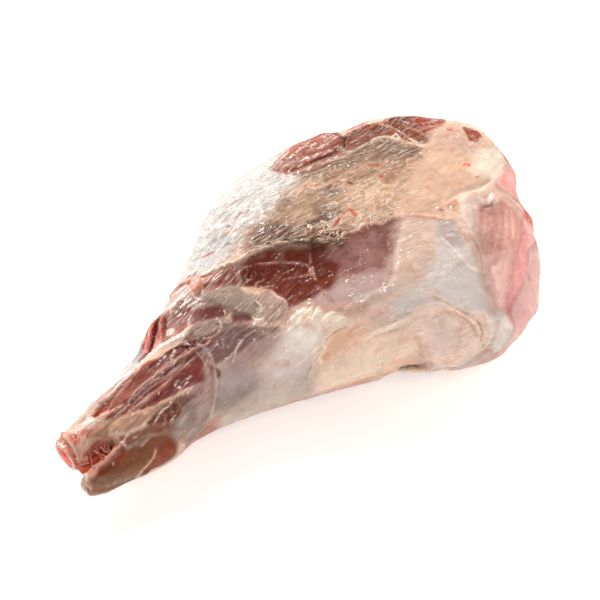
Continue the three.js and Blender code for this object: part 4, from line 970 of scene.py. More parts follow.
patch("outer slip of the cut muscle", "#7c1615 #8f1f1c", "-114,-18 -104,-35 -99,-34 -93,-38 -88,-39 -88,-38 "
    "-85,-36 -84,-36 -88,-32 -91,-30 -94,-28 -97,-26 -103,-15 -107,-15 -113,-15", soft=.7, rag=.5, rise=.8,
    grain=.9, tooth=.2)
stroke("lit side of the outer slip", "#d0705f", "-107,-22,.8 -102,-29,1.1 -97,-30,1.1 -93,-33,1 -88,-35,.6",
    soft=.8, rise=.5)
stroke("pale edge of the outer slip", "#d9a197", "-110,-20,.4 -104,-33,.4 -99,-33,.4 -94,-37,.4 -90,-38,.3",
    soft=.5)
stroke("deep cut beside the outer slip", "#4a1216", "-104,-16,.7 -98,-26,1.1 -94,-29,1 -91,-30,.8 "
    "-87,-33,.6 -84,-36,.3", soft=.8, rise=-2.2)
patch("second slip of the cut muscle", "#a65344 #ba7667", "-91,-29 -88,-31 -85,-34 -82,-36 -80,-34 -83,-31 "
    "-86,-29 -88,-26 -91,-23 -95,-18 -94,-26 -93,-28", soft=.6, rag=.6, rise=.9, grain=.8, vary=.7, wet=.5)
stroke("deep cut beside the second slip", "#6d2219", "-79,-34,.3 -83,-31,.7 -86,-28,.8 -89,-24,.8 "
    "-92,-20,.6 -95,-16,.4", soft=.7, rise=-1.6)
patch("knuckle under the slips", "#bc7a6f #a8564a", "-103,-16 -98,-24 -95,-27 -94,-23 -96,-15 -97,-13 "
    "-101,-14", soft=.6, rag=.6, rise=.6, vary=.7, wet=.5)
stroke("orange stripe of the cut muscle", "#b9694c", "-93,-12,.5 -88,-11,.8 -84,-13,.5", soft=.7, rise=.3)
patch("grey hollow over the knee", "#806764", "-59,-20 -58,-19 -62,-15 -64,-18 -63,-21", soft=.9, rise=-1)
patch("orange lobe by the knee", "#b27663 #c69486", "-60,-33 -57,-38 -54,-36 -53,-30 -53,-25 -58,-20 "
    "-62,-19 -64,-20 -64,-23 -63,-28", soft=.7, rag=.6, rise=2, vary=.6, wet=1)
stroke("red line by the knee", "#d04630", "-60,-38,.3 -57,-39,.6 -54,-40,.6 -51,-40,.3", soft=.5)
stroke("second red line by the knee", "#dd7a64", "-60,-44,.3 -56,-45,.7 -55,-42,.3", soft=.6)
# the white strokes on the front of the knee are painted glints on wet flesh
stroke("wet streak of the knee", "#f5efec", "-88,-39,.4 -84,-39,.7 -79,-39,.7 -76,-37,.7 -73,-31,.4",
    "-78,-41,.3 -75,-39,.6 -70,-33,.7 -66,-33,.7 -62,-31,.4", "-76,-37,.3 -72,-32,.7 -68,-29,.8 -63,-27,.4",
    "-73,-26,.3 -69,-25,.6 -66,-24,.3", "-71,-25,.3 -68,-23,.5 -66,-21,.3",
    "-68,-50,.3 -65,-44,.6 -62,-41,.7 -60,-39,.4", "-70,-22,.3 -67,-18,.5 -63,-14,.3",
    "-69,-16,.3 -66,-13,.4 -63,-10,.3", "-89,-15,.2 -86,-15,.4 -85,-15,.2",
    "-75,-14,.2 -73,-15,.4 -72,-15,.2", "-77,-28,.2 -76,-27,.4 -75,-27,.2",
    "-78,-25,.2 -76,-24,.35 -74,-24,.2", "-75,-21,.2 -74,-21,.35 -72,-21,.2", soft=.4, rise=.3)
stroke("dark streak of the knee", "#a9553f", "-76,-42,.3 -72,-40,.5 -69,-38,.3",
    "#b4512e -70,-50,.3 -67,-47,.5", "#945142 -71,-36,.3 -66,-35,.4 -64,-35,.2",
    "#8d4a3c -73,-27,.3 -70,-26,.4", "#7c4236 -68,-17,.3 -65,-14,.4 -64,-12,.2",
    "#94402f -72,-20,.4 -70,-19,.4", soft=.4, rise=-.5)

# the shank: muscles, tendons and threads
patch("fascia of the shank", "#9c867d #857063", "-119,26 -109,26 -100,30 -91,31 -87,33 -91,43 -97,49 "
    "-104,53 -112,53 -114,42 -120,31 -124,24", soft=3, rag=2, grain=.6, vary=.6, wet=.5, pale=.25)
patch("flesh under the shin strands", "#875346 #713f35", "-146,-10 -135,-10 -121,-9 -108,-6 -92,-1 -82,6 "
    "-82,15 -86,24 -95,23 -106,20 -118,18 -128,16 -139,10 -146,-1", soft=2, rag=1, lean=.5, grain=.8, vary=.6,
    wet=.3, tooth=.3, pale=.15)
patch("shin muscle", "#4f0d0a #5e120d", "-151,-11 -138,-12 -124,-12 -109,-9 -91,-4 -77,4 -77,10 -89,4 "
    "-101,0 -114,-4 -126,-6 -138,-6 -148,-7", soft=1.5, rag=1, lean=1, grain=1, wet=.5, pale=.15)
patch("calf muscle under the crescent", "#803e37 #6d302b", "-130,9 -125,10 -117,11 -113,11 -107,12 -104,10 "
    "-98,11 -92,12 -87,13 -84,13 -82,21 -79,29 -82,32 -91,28 -99,25 -104,21 -112,18 -120,15 -126,12", soft=.9,
    rag=.8, rise=-.3, lean=.7, grain=.9, vary=.6, wet=.5)
patch("pale veil over the calf", "#99746e #af938a", "-107,20 -101,22 -92,25 -83,28 -84,33 -88,37 -96,32 "
    "-104,26 -109,23", soft=1.5, rag=1.2, grain=1, vary=.8, wet=.5)
patch("broad heel cord", "#a67d66 #c0947c", "-167,-4 -161,-6 -156,-6 -153,-4 -148,-2 -144,0 -141,2 -136,6 "
    "-130,9 -123,13 -115,16 -109,19 -101,22 -100,24 -109,21 -116,19 -122,17 -126,16 -131,16 -135,16 -139,15 "
    "-144,13 -148,9 -151,4 -157,-2 -161,-4 -166,-4 -170,-2 -172,-3", soft=.8, rag=.8, rise=.3, grain=1,
    vary=.7, wet=.5, tooth=.4, pale=.25)
patch("brown window of the calf", "#642d1b #793826", "-132,17 -126,17 -121,17 -116,19 -110,22 -108,26 "
    "-111,29 -116,29 -120,27 -127,24 -131,21", soft=1.2, rag=1, lean=.4, grain=.8, vary=.6, wet=.5)
patch("olive shade of the calf", "#754c3f #895e53", "-110,20 -105,23 -98,29 -103,29 -108,28 -112,26",
    soft=1.6, rag=1, grain=.9, wet=.5)
patch("front shin muscle", "#924837 #7e3827", "-143,-4 -139,-9 -135,-10 -128,-11 -121,-11 -116,-13 -109,-11 "
    "-103,-7 -95,-3 -90,0 -90,5 -97,3 -104,2 -111,-2 -118,-4 -126,-5 -130,-3 -134,-2 -140,-3", soft=.8,
    rag=.7, rise=.5, lean=.4, grain=.9, wet=.25, tooth=.3, pale=.15)
patch("dark upper shin muscle", "#5f1e16 #793429", "-113,-6 -109,-8 -104,-6 -98,-4 -93,-3 -88,0 -87,4 -93,4 "
    "-100,1 -107,-2 -111,-3", soft=1.1, rag=1, vary=.7, wet=.25, tooth=.3, pale=.15)
patch("dark hollow of the shin", "#942f22 #a74132", "-154,-11 -152,-12 -146,-12 -141,-11 -138,-10 -140,-8 "
    "-144,-7 -149,-8 -153,-9", soft=.8, rag=.7, rise=-.9, grain=.8)
stroke("cream sliver of the shin", "#c0a684", "-169,-17,1 -166,-17,1.4 -160,-17,1.5 -153,-14,1.3 "
    "-147,-14,1.1 -142,-14,.8", soft=.7, rise=1, tooth=.1)
stroke("wet strip of the shin", "#efcabf #c57e6f", "-146,-14,.7 -140,-13,1.1 -135,-13,1.2 -130,-13,1.2 "
    "-125,-13,1 -120,-12,.8 -116,-12,.6", soft=.7, rag=.6, rise=.9, grain=1, vary=.6, wet=1, pale=1)
stroke("red edge of the shin", "#b34a3a", "-136,-16,.4 -129,-16,.6 -123,-15,.7 -118,-15,.5", soft=.5)
stroke("dark line beside the hollow", "#7f4238", "-151,-12,.3 -146,-12,.5 -140,-11,.6 -133,-12,.6 "
    "-127,-12,.5 -120,-12,.3", soft=.5, rise=-.7)
stroke("rib of the shin", "#975849 #b58977", "-147,-7,.4 -143,-8,.7 -138,-10,.7 -132,-11,.7 -126,-11,.6 "
    "-118,-12,.5", soft=.7, rag=.5, rise=.5, vary=.6, wet=.25, tooth=.3, pale=.15)
# the near white along the ridge of the shin is a painted highlight, over a wet coat that shines as well
stroke("wet ridge of the shin", "#f2ebe8 #c08a80", "-117,-16,.4 -113,-15,.8 -107,-14,1.1 -99,-13,1.2 "
    "-93,-10,1.2 -87,-8,1 -82,-6,.8", soft=.9, rag=1, rise=.8, grain=.4, vary=.6, wet=1.5, tooth=.1, pale=1)
stroke("mauve strand of the calf", "#5b221e #652925", "-133,1,.6 -129,1,1 -124,1,1.3 -117,2,1.4 -110,4,1.3 "
    "-102,6,1.2 -93,9,1.1 -82,11,.9 -73,14,.8", soft=.7, rag=.4, rise=-.2, wet=.25, tooth=.3, pale=.15)
stroke("pale thread of the mauve strand", "#b48c80", "-130,0,.3 -123,-1,.45 -115,1,.4 -108,4,.3", soft=.4,
    rise=.3)
stroke("second thread of the mauve strand", "#b08474", "-99,3,.4 -89,6,.5 -77,10,.5 -72,12,.3", soft=.5,
    rise=.3)
stroke("pale calf tendon", "#92695c #a0796e", "-145,0,1.2 -142,0,1.2 -136,1,1 -132,-1,1.1 -127,-3,1.1 "
    "-119,-2,1.1 -112,0,1 -104,2,.8 -97,4,.8 -91,6,.7 -83,8,.6 -75,12,.5", soft=.7, rag=.5, rise=1, grain=.9,
    vary=.6, wet=.25, tooth=.3, pale=.15)
stroke("dark gap above the salmon strand", "#713530", "-136,3,.4 -131,4,.4 -124,4,.4 -116,6,.3 -109,8,.3",
    soft=.5, rise=-.8)
stroke("salmon strand", "#995647 #8e4b3e", "-136,5,1.4 -132,6,1.9 -127,7,1.9 -121,8,1.7 -116,9,1.4 "
    "-110,10,1.1 -105,10,.8 -99,11,.6 -92,13,.5", soft=.6, rise=1.1, grain=.9, vary=.4, wet=.25, tooth=.3,
    pale=.15)
stroke("lip of the salmon strand", "#dcb6a2", "-135,3,.3 -136,5,.5 -136,7,.4 -134,8,.3", soft=.4, rise=.3)
stroke("dark gap below the salmon strand", "#662521", "-130,9,.5 -126,10,.7 -120,11,.5 -115,11,.3", soft=.6,
    rise=-1)
stroke("pale strand under the shin muscle", "#eec6b5 #d0917c", "-164,-10,.9 -157,-9,1.2 -153,-8,1.2 "
    "-148,-7,1 -142,-4,.7 -134,-1,.5", soft=.6, rag=.4, rise=.8, grain=1, vary=.6, wet=.5, pale=.25)
stroke("dark gap under the shin muscle", "#8b4233", "-148,-5,.4 -144,-3,.6 -139,-1,.6 -134,-1,.4", soft=.5,
    rise=-.8)
stroke("glint of the tendon end", "#f1e7e1", "-161,-12,.5 -157,-11,.8 -155,-10,.6 -154,-8,.3", soft=.5,
    rise=.5)
stroke("second glint of the tendon end", "#f1e7e1", "-164,-10,.3 -160,-9,.5 -155,-8,.6 -150,-7,.4", soft=.5,
    rise=.5)
patch("raw end of the shin", "#cf6553 #e5a08d", "-174,-29 -174,-20 -168,-12 -165,-9 -159,-8 -156,-7 -152,-5 "
    "-156,-5 -161,-6 -165,-5 -170,-2 -174,-40 -174,-37", soft=.8, rag=.7, grain=.9, vary=.6, wet=.9, tooth=.8,
    pale=.5)
stroke("fibre round the bone end", "#a9402f", "-169,-11,.3 -168,-8,.5 -171,-6,.4", soft=.5)
stroke("fibre round the bone end", "#e9bfac", "-165,-9,.3 -166,-6,.5 -170,-4,.4", soft=.5, rise=.5)
stroke("fibre round the bone end", "#e6a998", "-173,-12,.3 -172,-8,.5 -174,-7,.4", soft=.5)
stroke("fibre round the bone end", "#dba795", "-159,-7,.4 -164,-6,.7 -168,-4,.8 -169,0,.6", soft=.5, rise=.5)
stroke("fibre round the bone end", "#9b4c3c", "-157,-6,.3 -161,-6,.4 -164,-4,.3", soft=.5)
stroke("curled thread of the shank", "#ead9cb", "-113,18,.3 -115,20,.3 -121,19,.4 -126,20,.4 -129,21,.2",
    "-115,27,.2 -118,27,.35 -120,27,.2", "-122,27,.2 -129,27,.4 -133,24,.3",
    "-106,15,.3 -104,14,.4 -102,15,.3", "-105,17,.3 -104,18,.4", "-98,18,.4 -96,18,.4 -94,19,.2",
    "-117,10,.3 -116,10,.35", "-108,3,.4 -107,3,.4", "-108,-4,.2 -106,-4,.4", "-102,-4,.2 -100,-4,.4",
    "-99,0,.2 -95,-1,.4 -93,-3,.3", "-105,-4,.3 -104,-5,.3", "-110,-6,.3 -110,-4,.3",
    "-87,-1,.3 -86,-1,.4 -85,1,.4 -86,1,.3", soft=.35, rise=.5)

# the notch and the heel lobe
patch("red strands by the notch", "#a8594a #cf9784", "-165,-1 -161,-2 -155,1 -152,9 -151,13 -153,13 -159,11 "
    "-163,13 -169,5 -169,0", soft=1.4, rag=.8, lean=.6, grain=.9, vary=.7, wet=.9)
patch("inside of the notch", "#b4532f #d9764c", "-173,28 -167,33 -162,31 -157,27 -151,13 -151,17 -159,17 "
    "-166,17 -171,18 -168,-57", soft=1.3, rag=.6, rise=-.6, lean=.8, vary=.6)
patch("heel lobe", "#7a4629 #8d5737", "-175,19 -170,18 -161,22 -155,20 -147,22 -139,25 -132,25 -126,30 "
    "-121,37 -122,46 -126,50 -133,49 -142,45 -146,51 -154,45 -166,36 -176,31 -177,26 -174,21", soft=2,
    rag=1.2, lean=.5, grain=.5, turn=60, vary=.6, wet=.3, tooth=.05, pale=.12)
patch("red brown side of the heel lobe", "#753c25 #8c5740", "-171,20 -164,20 -156,20 -149,22 -140,24 "
    "-131,28 -126,31 -126,33 -133,33 -140,32 -148,32 -157,30 -166,27 -171,23", soft=3.5, rag=2, lean=.5,
    grain=.4, turn=60, vary=.7, wet=.3, tooth=.05, weight=.8)
patch("upper strands of the heel", "#8d4c39 #b58672", "-156,19 -149,18 -147,22 -155,23 -163,23 -172,22 "
    "-174,21 -174,19 -166,19", soft=1.5, rag=.8, rise=.4, grain=.9, vary=.7, wet=.7, tooth=.3)
patch("grey edge of the heel lobe", "#8d6243 #7d5537", "-175,22 -166,24 -153,34 -144,39 -146,51 -154,45 "
    "-166,36 -176,31 -177,27", soft=4, rag=1.5, grain=.5, turn=60, tooth=.3, pale=.12)
patch("red patch of the heel", "#863f2b #955440", "-144,45 -141,39 -135,35 -129,34 -124,35 -122,40 -123,46 "
    "-126,48 -133,49 -139,46 -142,49", soft=1.3, rag=.8, rise=.3, lean=.9, grain=.5, wet=.35, tooth=.3)
stroke("pale line over the heel", "#d2b196", "-134,33,.5 -137,36,.8 -141,38,.9 -146,42,.8 -147,48,.6",
    soft=.6, rise=.8, wet=.9)
patch("glossy band above the heel", "#9e8377 #7a584d", "-122,30 -117,33 -114,40 -113,46 -116,44 -120,40 "
    "-122,34", soft=2.5, rag=1.2, grain=.5, vary=.6, wet=1)
patch("torn membrane of the calf", "#7c4d3b #915f4f", "-148,12 -142,15 -137,17 -129,20 -123,25 -117,30 "
    "-120,31 -128,28 -134,24 -138,24 -144,22 -148,21 -149,16", soft=1.5, rag=1.2, rise=.3, grain=.4, vary=.7,
    wet=.5)
stroke("torn edge", "#b08a7a", "-149,16,.5 -148,21,.7 -144,22,.7 -138,24,.7 -134,24,.7 -129,27,.6 -124,28,.5",
    soft=.6, rise=.9, wet=1, weight=.5)
patch("red side of the heel", "#8b361e #a25032", "-169,19 -163,21 -157,21 -152,20 -150,20 -150,24 -157,24 "
    "-163,24 -168,23 -170,21", rag=.8, lean=.4, grain=.9, vary=.6, wet=.4, tooth=.05)
stroke("pink rim of the notch", "#b97a6a #cf9c8c", "-173,18,.5 -168,18,.7 -162,18,.7 -157,18,.6 -153,18,.5 "
    "-149,17,.4", soft=.7, rise=.5, grain=.9, vary=.6, wet=1, pale=.5)
stroke("second rim of the notch", "#8f5544", "-166,20,.5 -160,20,.6 -155,19,.6 -151,18,.5", soft=.5, rise=.5)
patch("pink end of the heel", "#dd9b86 #c87f69", "-174,18 -170,17 -167,18 -169,20 -174,21 -175,19", soft=.9,
    rag=.6, vary=.6, wet=.9)
patch("cord end of the heel", "#e2bfa4 #d39c84", "-178,37 -178,31 -177,22 -174,18 -174,20 -177,22 -178,36 "
    "-178,38", soft=.7, rag=.5, rise=.5, vary=.6, wet=.9)
patch("cut end of the heel", "#cd7c6e #ecbdad", "-178,38 -178,36 -177,24 -175,21 -175,25 -177,30 -178,38",
    soft=.7, rag=.6, vary=.6, wet=.9, tooth=.9)
stroke("crack at the end of the heel", "#8f3526", "-178,36,.3 -177,23,.5 -175,20,.3", soft=.4, rise=-.8)
stroke("thread at the end of the heel", "#ecd5c8", "-174,18,.3 -175,20,.5 -177,22,.4 -177,26,.3", soft=.4,
    rise=.6)
stroke("torn thread of the heel", "#dcb9ac", "-148,17,.2 -146,16,.4 -143,15,.3",
    "-148,17,.3 -148,21,.4 -145,21,.2", "-143,19,.2 -141,19,.3 -140,19,.2",
    "-141,25,.2 -138,25,.3 -136,25,.3", "-158,21,.2 -159,22,.3 -160,23,.2",
    "-152,18,.2 -149,17,.3 -147,17,.3", soft=.35, rise=.5)

# the crescent where the fascia ends at the knee
patch("veil inside the crescent", "#ac8f86 #ad958b", "-83,18 -82,21 -83,26 -86,30 -91,38 -97,42 -104,44 "
    "-103,36 -97,32 -91,28 -87,22", soft=2, rag=1, grain=.6, vary=.6, wet=.4, tooth=.4, pale=.2, weight=.85)
# the pale line along the crescent is painted light on the lit edge of the fold
stroke("edge of the crescent", "#cbbab1", "-81,5,.3 -79,11,.4 -79,19,.5 -81,26,.7 -86,34,.8 -93,43,.7 "
    "-102,51,.5 -111,55,.4", soft=.8, rag=.4, rise=.6, weight=.8)
stroke("shadow past the crescent", "#86706b", "-79,23,.7 -81,30,1 -85,36,1 -91,43,.8", soft=1.2, rise=-.6,
    weight=.3)
stroke("crescent line over the knee", "#a5827a", "-85,4,.2 -84,12,.35 -84,21,.35 -83,26,.3", soft=.6, rise=.4)

# shape only: swells and hollows with no colour of their own
patch("swell between the flank muscles", "#000000", "77,-87 81,-85 97,-95 94,-75 84,-66 76,-66 71,-75",
    soft=5, rise=2.6, weight=0)
patch("dip behind the knee", "#000000", "-119,-27 -108,-38 -104,-33 -110,-15 -119,-14 -126,-17", soft=5,
    rise=-2, weight=0)
patch("waist between lobe and face", "#000000", "146,42 149,58 160,62 174,64 176,52 172,40 158,38", soft=5,
    rise=-4.5, weight=0)
patch("hollow under the flap", "#000000", "2,114 10,122 14,140 20,155 44,155 46,140 44,130 30,124 14,116",
    soft=5, rise=-4.5, weight=0)
patch("flat of the lower face", "#000000", "84,124 95,120 104,116 112,124 108,138 94,144 84,138", soft=6,
    rise=-2.5, weight=0)


def paint_leg(co, chart):
    """Lays the patches on the leg in order. Gives colour, grain, tissue, wetness and height in mm."""
    n = len(co)
    u, v = chart.of(co)
    rag_wide, rag_fine = ripple(co / 9, 11), ripple(co / 2.6, 12)
    swirl = ripple(co / 30, 13) * 2.5
    grain_u, grain_v = u + 0, v + swirl
    cloud = ripple(co / 14, 21)
    # the fell and fat that cover what no patch does
    thin, under = np.full(n, 0.5), np.tile(linear("#b8927c"), (n, 1))
    colour = np.tile(linear("#dcc2ae"), (n, 1))
    tan, blush = np.array(linear("#c9a48c")), np.array(linear("#a9665a"))
    far = ease(cloud, -0.3, 0.6)[:, None]
    colour = colour * (1 - 0.6 * far) + tan * 0.6 * far
    bare = ease(ripple(co / 31, 22), 0.25, 0.5)[:, None] * ease(-co[:, 2], -45, -25)[:, None]
    colour = colour * (1 - bare) + blush * bare
    lean, fat, streak = bare[:, 0] * 0.8, 1 - bare[:, 0] - 0.5 * far[:, 0], np.full(n, 0.5)
    wet, tooth, pale = np.full(n, 0.45), np.full(n, 0.6), np.full(n, 0.2)
    height = np.zeros(n)
    for _, code, second, points, narrow, finish in LAYERS:
        soft, rag, rise = finish["soft"], finish["rag"], finish["rise"]
        widest = max(p[2] for p in points) if narrow else 0
        reach = soft + rag + 1 + widest
        pu, pv = [p[0] for p in points], [p[1] for p in points]
        near = np.flatnonzero((u > min(pu) - reach) & (u < max(pu) + reach)
                              & (v > min(pv) - reach) & (v < max(pv) + reach))
        if not len(near):
            continue
        nu, nv = u[near], v[near]
        rough_edge = rag * (0.65 * rag_wide[near] + 0.35 * rag_fine[near])
        if narrow:
            depth = depth_in_stroke(nu, nv, points) + 0.3 * rag_fine[near] + rough_edge
        else:
            depth = depth_inside(nu, nv, points) + rough_edge
        cover = ease(depth, -soft, soft) * finish["weight"]
        c = cover[:, None]
        colour[near] = colour[near] * (1 - c) + np.array(linear(code)) * c
        under[near] = under[near] * (1 - c) + np.array(linear(second)) * c
        if finish["turn"]:
            a = math.radians(finish["turn"])
            gu, gv = grain_u[near], grain_v[near]
            grain_u[near] = gu * (1 - cover) + (gu * math.cos(a) + gv * math.sin(a)) * cover
            grain_v[near] = gv * (1 - cover) + (gv * math.cos(a) - gu * math.sin(a)) * cover
        for field, share in ((thin, "vary"), (lean, "lean"), (fat, "fat"), (streak, "grain"), (wet, "wet"),
                             (tooth, "tooth"), (pale, "pale")):
            field[near] = field[near] * (1 - cover) + finish[share] * cover
        if rise:
            height[near] += rise * ease(depth, -soft, widest if narrow else max(soft, 2.5))
    # the slot between bone and heel lobe is raw and wet inside: raw red-orange at its mouth, darkened to near
    # black at its inner end by painted shade
    slot = 1 - ease(np.linalg.norm((co - (-160, -23.5, 24)) / (19, 7.5, 12), axis=1), 0.8, 1.15)
    inner = ease(co[:, 0], -160, -147)[:, None]
    raw = mixed("#c8603c", "#57150e", inner)
    for field in (colour, under):
        field += (raw - field) * slot[:, None]
    return dict(colour=colour, under=under, thin=thin, height=height,
                grain=np.column_stack([grain_u, grain_v, np.zeros(n)]),
                tissue=np.column_stack([lean, np.clip(fat, 0, 1), streak]),
                skin=np.column_stack([wet, tooth, pale]))


def leg():
    mesh = even_out(solid_copy("leg_meat"), EVEN * MM)
    relax(mesh, 14)
    chart = Chart(corners(solid_copy("leg_meat")) / MM)
    u, v = chart.of(corners(mesh) / MM)
    # the upper side, which is seen close, gets finer faces down to just above the table
    along, far_edge, near_edge = (-170, -60, 0, 60, 160), (-75, -62, -96, -98, -90), (75, 70, 118, 140, 125)
    shown = (v > np.interp(u, along, far_edge)) & (v < np.interp(u, along, near_edge)) \
        & (corners(mesh)[:, 2] > 2.5 * MM)
    finer(mesh, lambda a, b: shown[a.index] and shown[b.index])
    relax(mesh, 3)
    co = corners(mesh) / MM
    normal = outward(mesh)
    made = paint_leg(co, chart)
    height = made["height"]
    # lobes of fat and fascia, and the fibres of the lean, raised by fractions of a millimetre
    lean, fat, streak = made["tissue"].T
    tooth = made["skin"][:, 1]
    lumps = ripple(co / 11, 31) * 0.5 + ripple(co / 3.6, 32) * 0.16 * tooth
    height = height + lumps * (0.4 + 0.6 * fat) * (1 - 0.6 * lean)
    g = made["grain"][:, :2]
    crease = 1 - np.abs(ripple(g / (15, 3.4), 34, 3))      # short sharp folds along the grain
    height = height + (crease - 0.7) * 0.55 * streak
    pucker = 1 - np.abs(ripple(co / 6.5, 35, 4))
    height = height + (pucker - 0.7) * 0.7 * tooth * (1 - lean)
    bundle = 1 - np.abs(ripple(g / (38, 6.5), 36, 2))      # the bundles of the lean
    height = height + (bundle - 0.6) * 1.1 * lean * streak
    put_corners(mesh, within_box(co + normal * height[:, None]) * MM)
    dye(mesh, "flesh", made["colour"])
    store(mesh, "grain", "FLOAT_VECTOR", made["grain"])
    store(mesh, "tissue", "FLOAT_VECTOR", made["tissue"])
    dye(mesh, "under", made["under"])
    store(mesh, "skin", "FLOAT_VECTOR", made["skin"])
    store(mesh, "thin", "FLOAT", made["thin"])
    return mesh, chart


RAW_LAMB, SAWN_BONE, RED_MARROW, FASCIA = raw_lamb(), sawn_bone(), red_marrow(), wet_fascia()
leg_mesh, CHART = leg()
piece("leg_flesh", leg_mesh, RAW_LAMB, "meat", "leg_meat")


# ---- strands and shreds of fascia

SKIN = corners(leg_mesh) / MM
SKIN_OUT = outward(leg_mesh)
SKIN_U, SKIN_V = CHART.of(SKIN)
TREE = KDTree(len(SKIN))
for i, (along, around) in enumerate(zip(SKIN_U, SKIN_V)):
    TREE.insert((along, around, 0.0), i)
TREE.balance()


def on_leg(route, lift):
    """Points in mm on the leg's skin at (along, around), lifted outwards."""
    out = []
    for (along, around), high in zip(route, lift):
        near = TREE.find_n((along, around, 0.0), 4)
        share = np.array([1 / (d + 0.1) for _, _, d in near])
        ids = [i for _, i, _ in near]
        share /= share.sum()
        normal = share @ SKIN_OUT[ids]
        out.append(share @ SKIN[ids] + normal / np.linalg.norm(normal) * high)
    return np.array(out)


def strand_tree():
    """Geometry Nodes: every polyline becomes a round strand as thick as its points say."""
    tree = bpy.data.node_groups.new("strands", "GeometryNodeTree")
    tree.interface.new_socket("Geometry", in_out="INPUT", socket_type="NodeSocketGeometry")
    sides = tree.interface.new_socket("Sides", in_out="INPUT", socket_type="NodeSocketInt")
    coat = tree.interface.new_socket("Coat", in_out="INPUT", socket_type="NodeSocketMaterial")
    tree.interface.new_socket("Geometry", in_out="OUTPUT", socket_type="NodeSocketGeometry")
    given = node(tree, "NodeGroupInput").outputs
    thick = node(tree, "GeometryNodeInputNamedAttribute", {"data_type": "FLOAT"}, Name="thick")
    curves = node(tree, "GeometryNodeMeshToCurve", Mesh=given["Geometry"])
    ring = node(tree, "GeometryNodeCurvePrimitiveCircle", Resolution=given["Sides"], Radius=1.0)
    tube = node(tree, "GeometryNodeCurveToMesh", Curve=curves, Profile_Curve=ring, Fill_Caps=True,
                Scale=thick.outputs["Attribute"])
    real = node(tree, "GeometryNodeRealizeInstances", Geometry=tube)
    coated = node(tree, "GeometryNodeSetMaterial", Geometry=real, Material=given["Coat"])
    node(tree, "NodeGroupOutput", Geometry=coated)
    return tree, sides.identifier, coat.identifier


STRANDS, SIDES, COAT = strand_tree()


def strands(name, routes, material, slot, sides=4):
    """One piece from many strands: each is (points in mm, half thicknesses in mm, colour)."""
    points, edges, thick, colours = [], [], [], []
    for line_points, halves, code in routes:
        start = len(points)
        points += [tuple(p * MM) for p in line_points]
        edges += [(start + i, start + i + 1) for i in range(len(line_points) - 1)]
        thick += [h * MM for h in halves]
        colours += [paint(code)] * len(line_points)
    mesh = bpy.data.meshes.new(name)
    mesh.from_pydata(points, edges, [])
    store(mesh, "thick", "FLOAT", thick)
    store(mesh, "flesh", "FLOAT_COLOR", colours)
    ob = keep(bpy.data.objects.new(name, mesh))
    mod = ob.modifiers.new("strands", "NODES")
    mod.node_group = STRANDS
    mod[SIDES], mod[COAT] = sides, material
    made = worked_out(ob)
    put_corners(made, within_box(corners(made) / MM) * MM)
    piece(name, made, material, slot)


def loose_strands(outline, count, length, half, lift, codes, lean, curl):
    """Short strands scattered inside an outline on the chart, running with the grain."""
    out, ring = [], np.array([p[:2] for p in outline], float)
    lo, hi = ring.min(0), ring.max(0)
    while len(out) < count:
        start = rng.uniform(lo, hi)
        if depth_inside(start[:1], start[1:], ring)[0] < 0:
            rng.uniform(size=3)
            continue
        size = rng.uniform(*length)
        steps = max(5, int(size / 1.3))
        angle = math.radians(rng.normal(lean, 7))
        turn = rng.normal(0, curl)
        at, route = start.copy(), []
        for i in range(steps):
            route.append(at.copy())
            angle += turn / steps + rng.normal(0, curl * 0.5)
            at = at + np.array([math.cos(angle), math.sin(angle)]) * size / steps
        t = np.linspace(0, 1, steps)
        thickness = rng.uniform(*half) * np.clip(4 * t * (1 - t), 0, 1) ** 0.5 + 0.03
        high = rng.uniform(*lift) * np.sin(t * math.pi) * (0.6 + 0.4 * rng.uniform()) - 0.05
        out.append((on_leg(route, high), thickness, codes[int(rng.integers(len(codes)))]))
    return out


torn_edge = next(points for name, _, _, points, *_ in LAYERS if name == "shreds over the window")
strands("fascia_strands", loose_strands(torn_edge, 40, (4, 10), (0.25, 0.6), (-0.1, 0.5),
                                        ("#d9c3b0", "#c8ab93", "#e2d0c0", "#b8957d"), lean=-10, curl=0.9),
        FASCIA, "meat")


def notch_strings():
    """Torn strings that cross the slot between the bone and the heel lobe."""
    out = []
    for x, lean, half, code in (
            (-150, 2, 1.0, "#7d2c20"), (-153, -3, 0.7, "#c77460"), (-156, 1, 0.9, "#a9503d"),
            (-158, 4, 0.5, "#d99682"), (-160, -2, 0.7, "#b4604d"), (-162, 3, 0.45, "#dba08c"),
            (-165, -4, 0.5, "#c0705c")):
        t = np.linspace(0, 1, 12)
        sag = 4 * t * (1 - t) * rng.uniform(1.5, 5)
        points = np.column_stack([x + lean * t + rng.normal(0, 0.3, 12), -16.5 - 12.5 * t,
                                  33 + 4.5 * t - sag + rng.normal(0, 0.2, 12)])
        out.append((points, half * (0.8 + 0.5 * np.abs(2 * t - 1)), code))
    return out


strands("notch_strings", notch_strings(), FASCIA, "meat", sides=6)


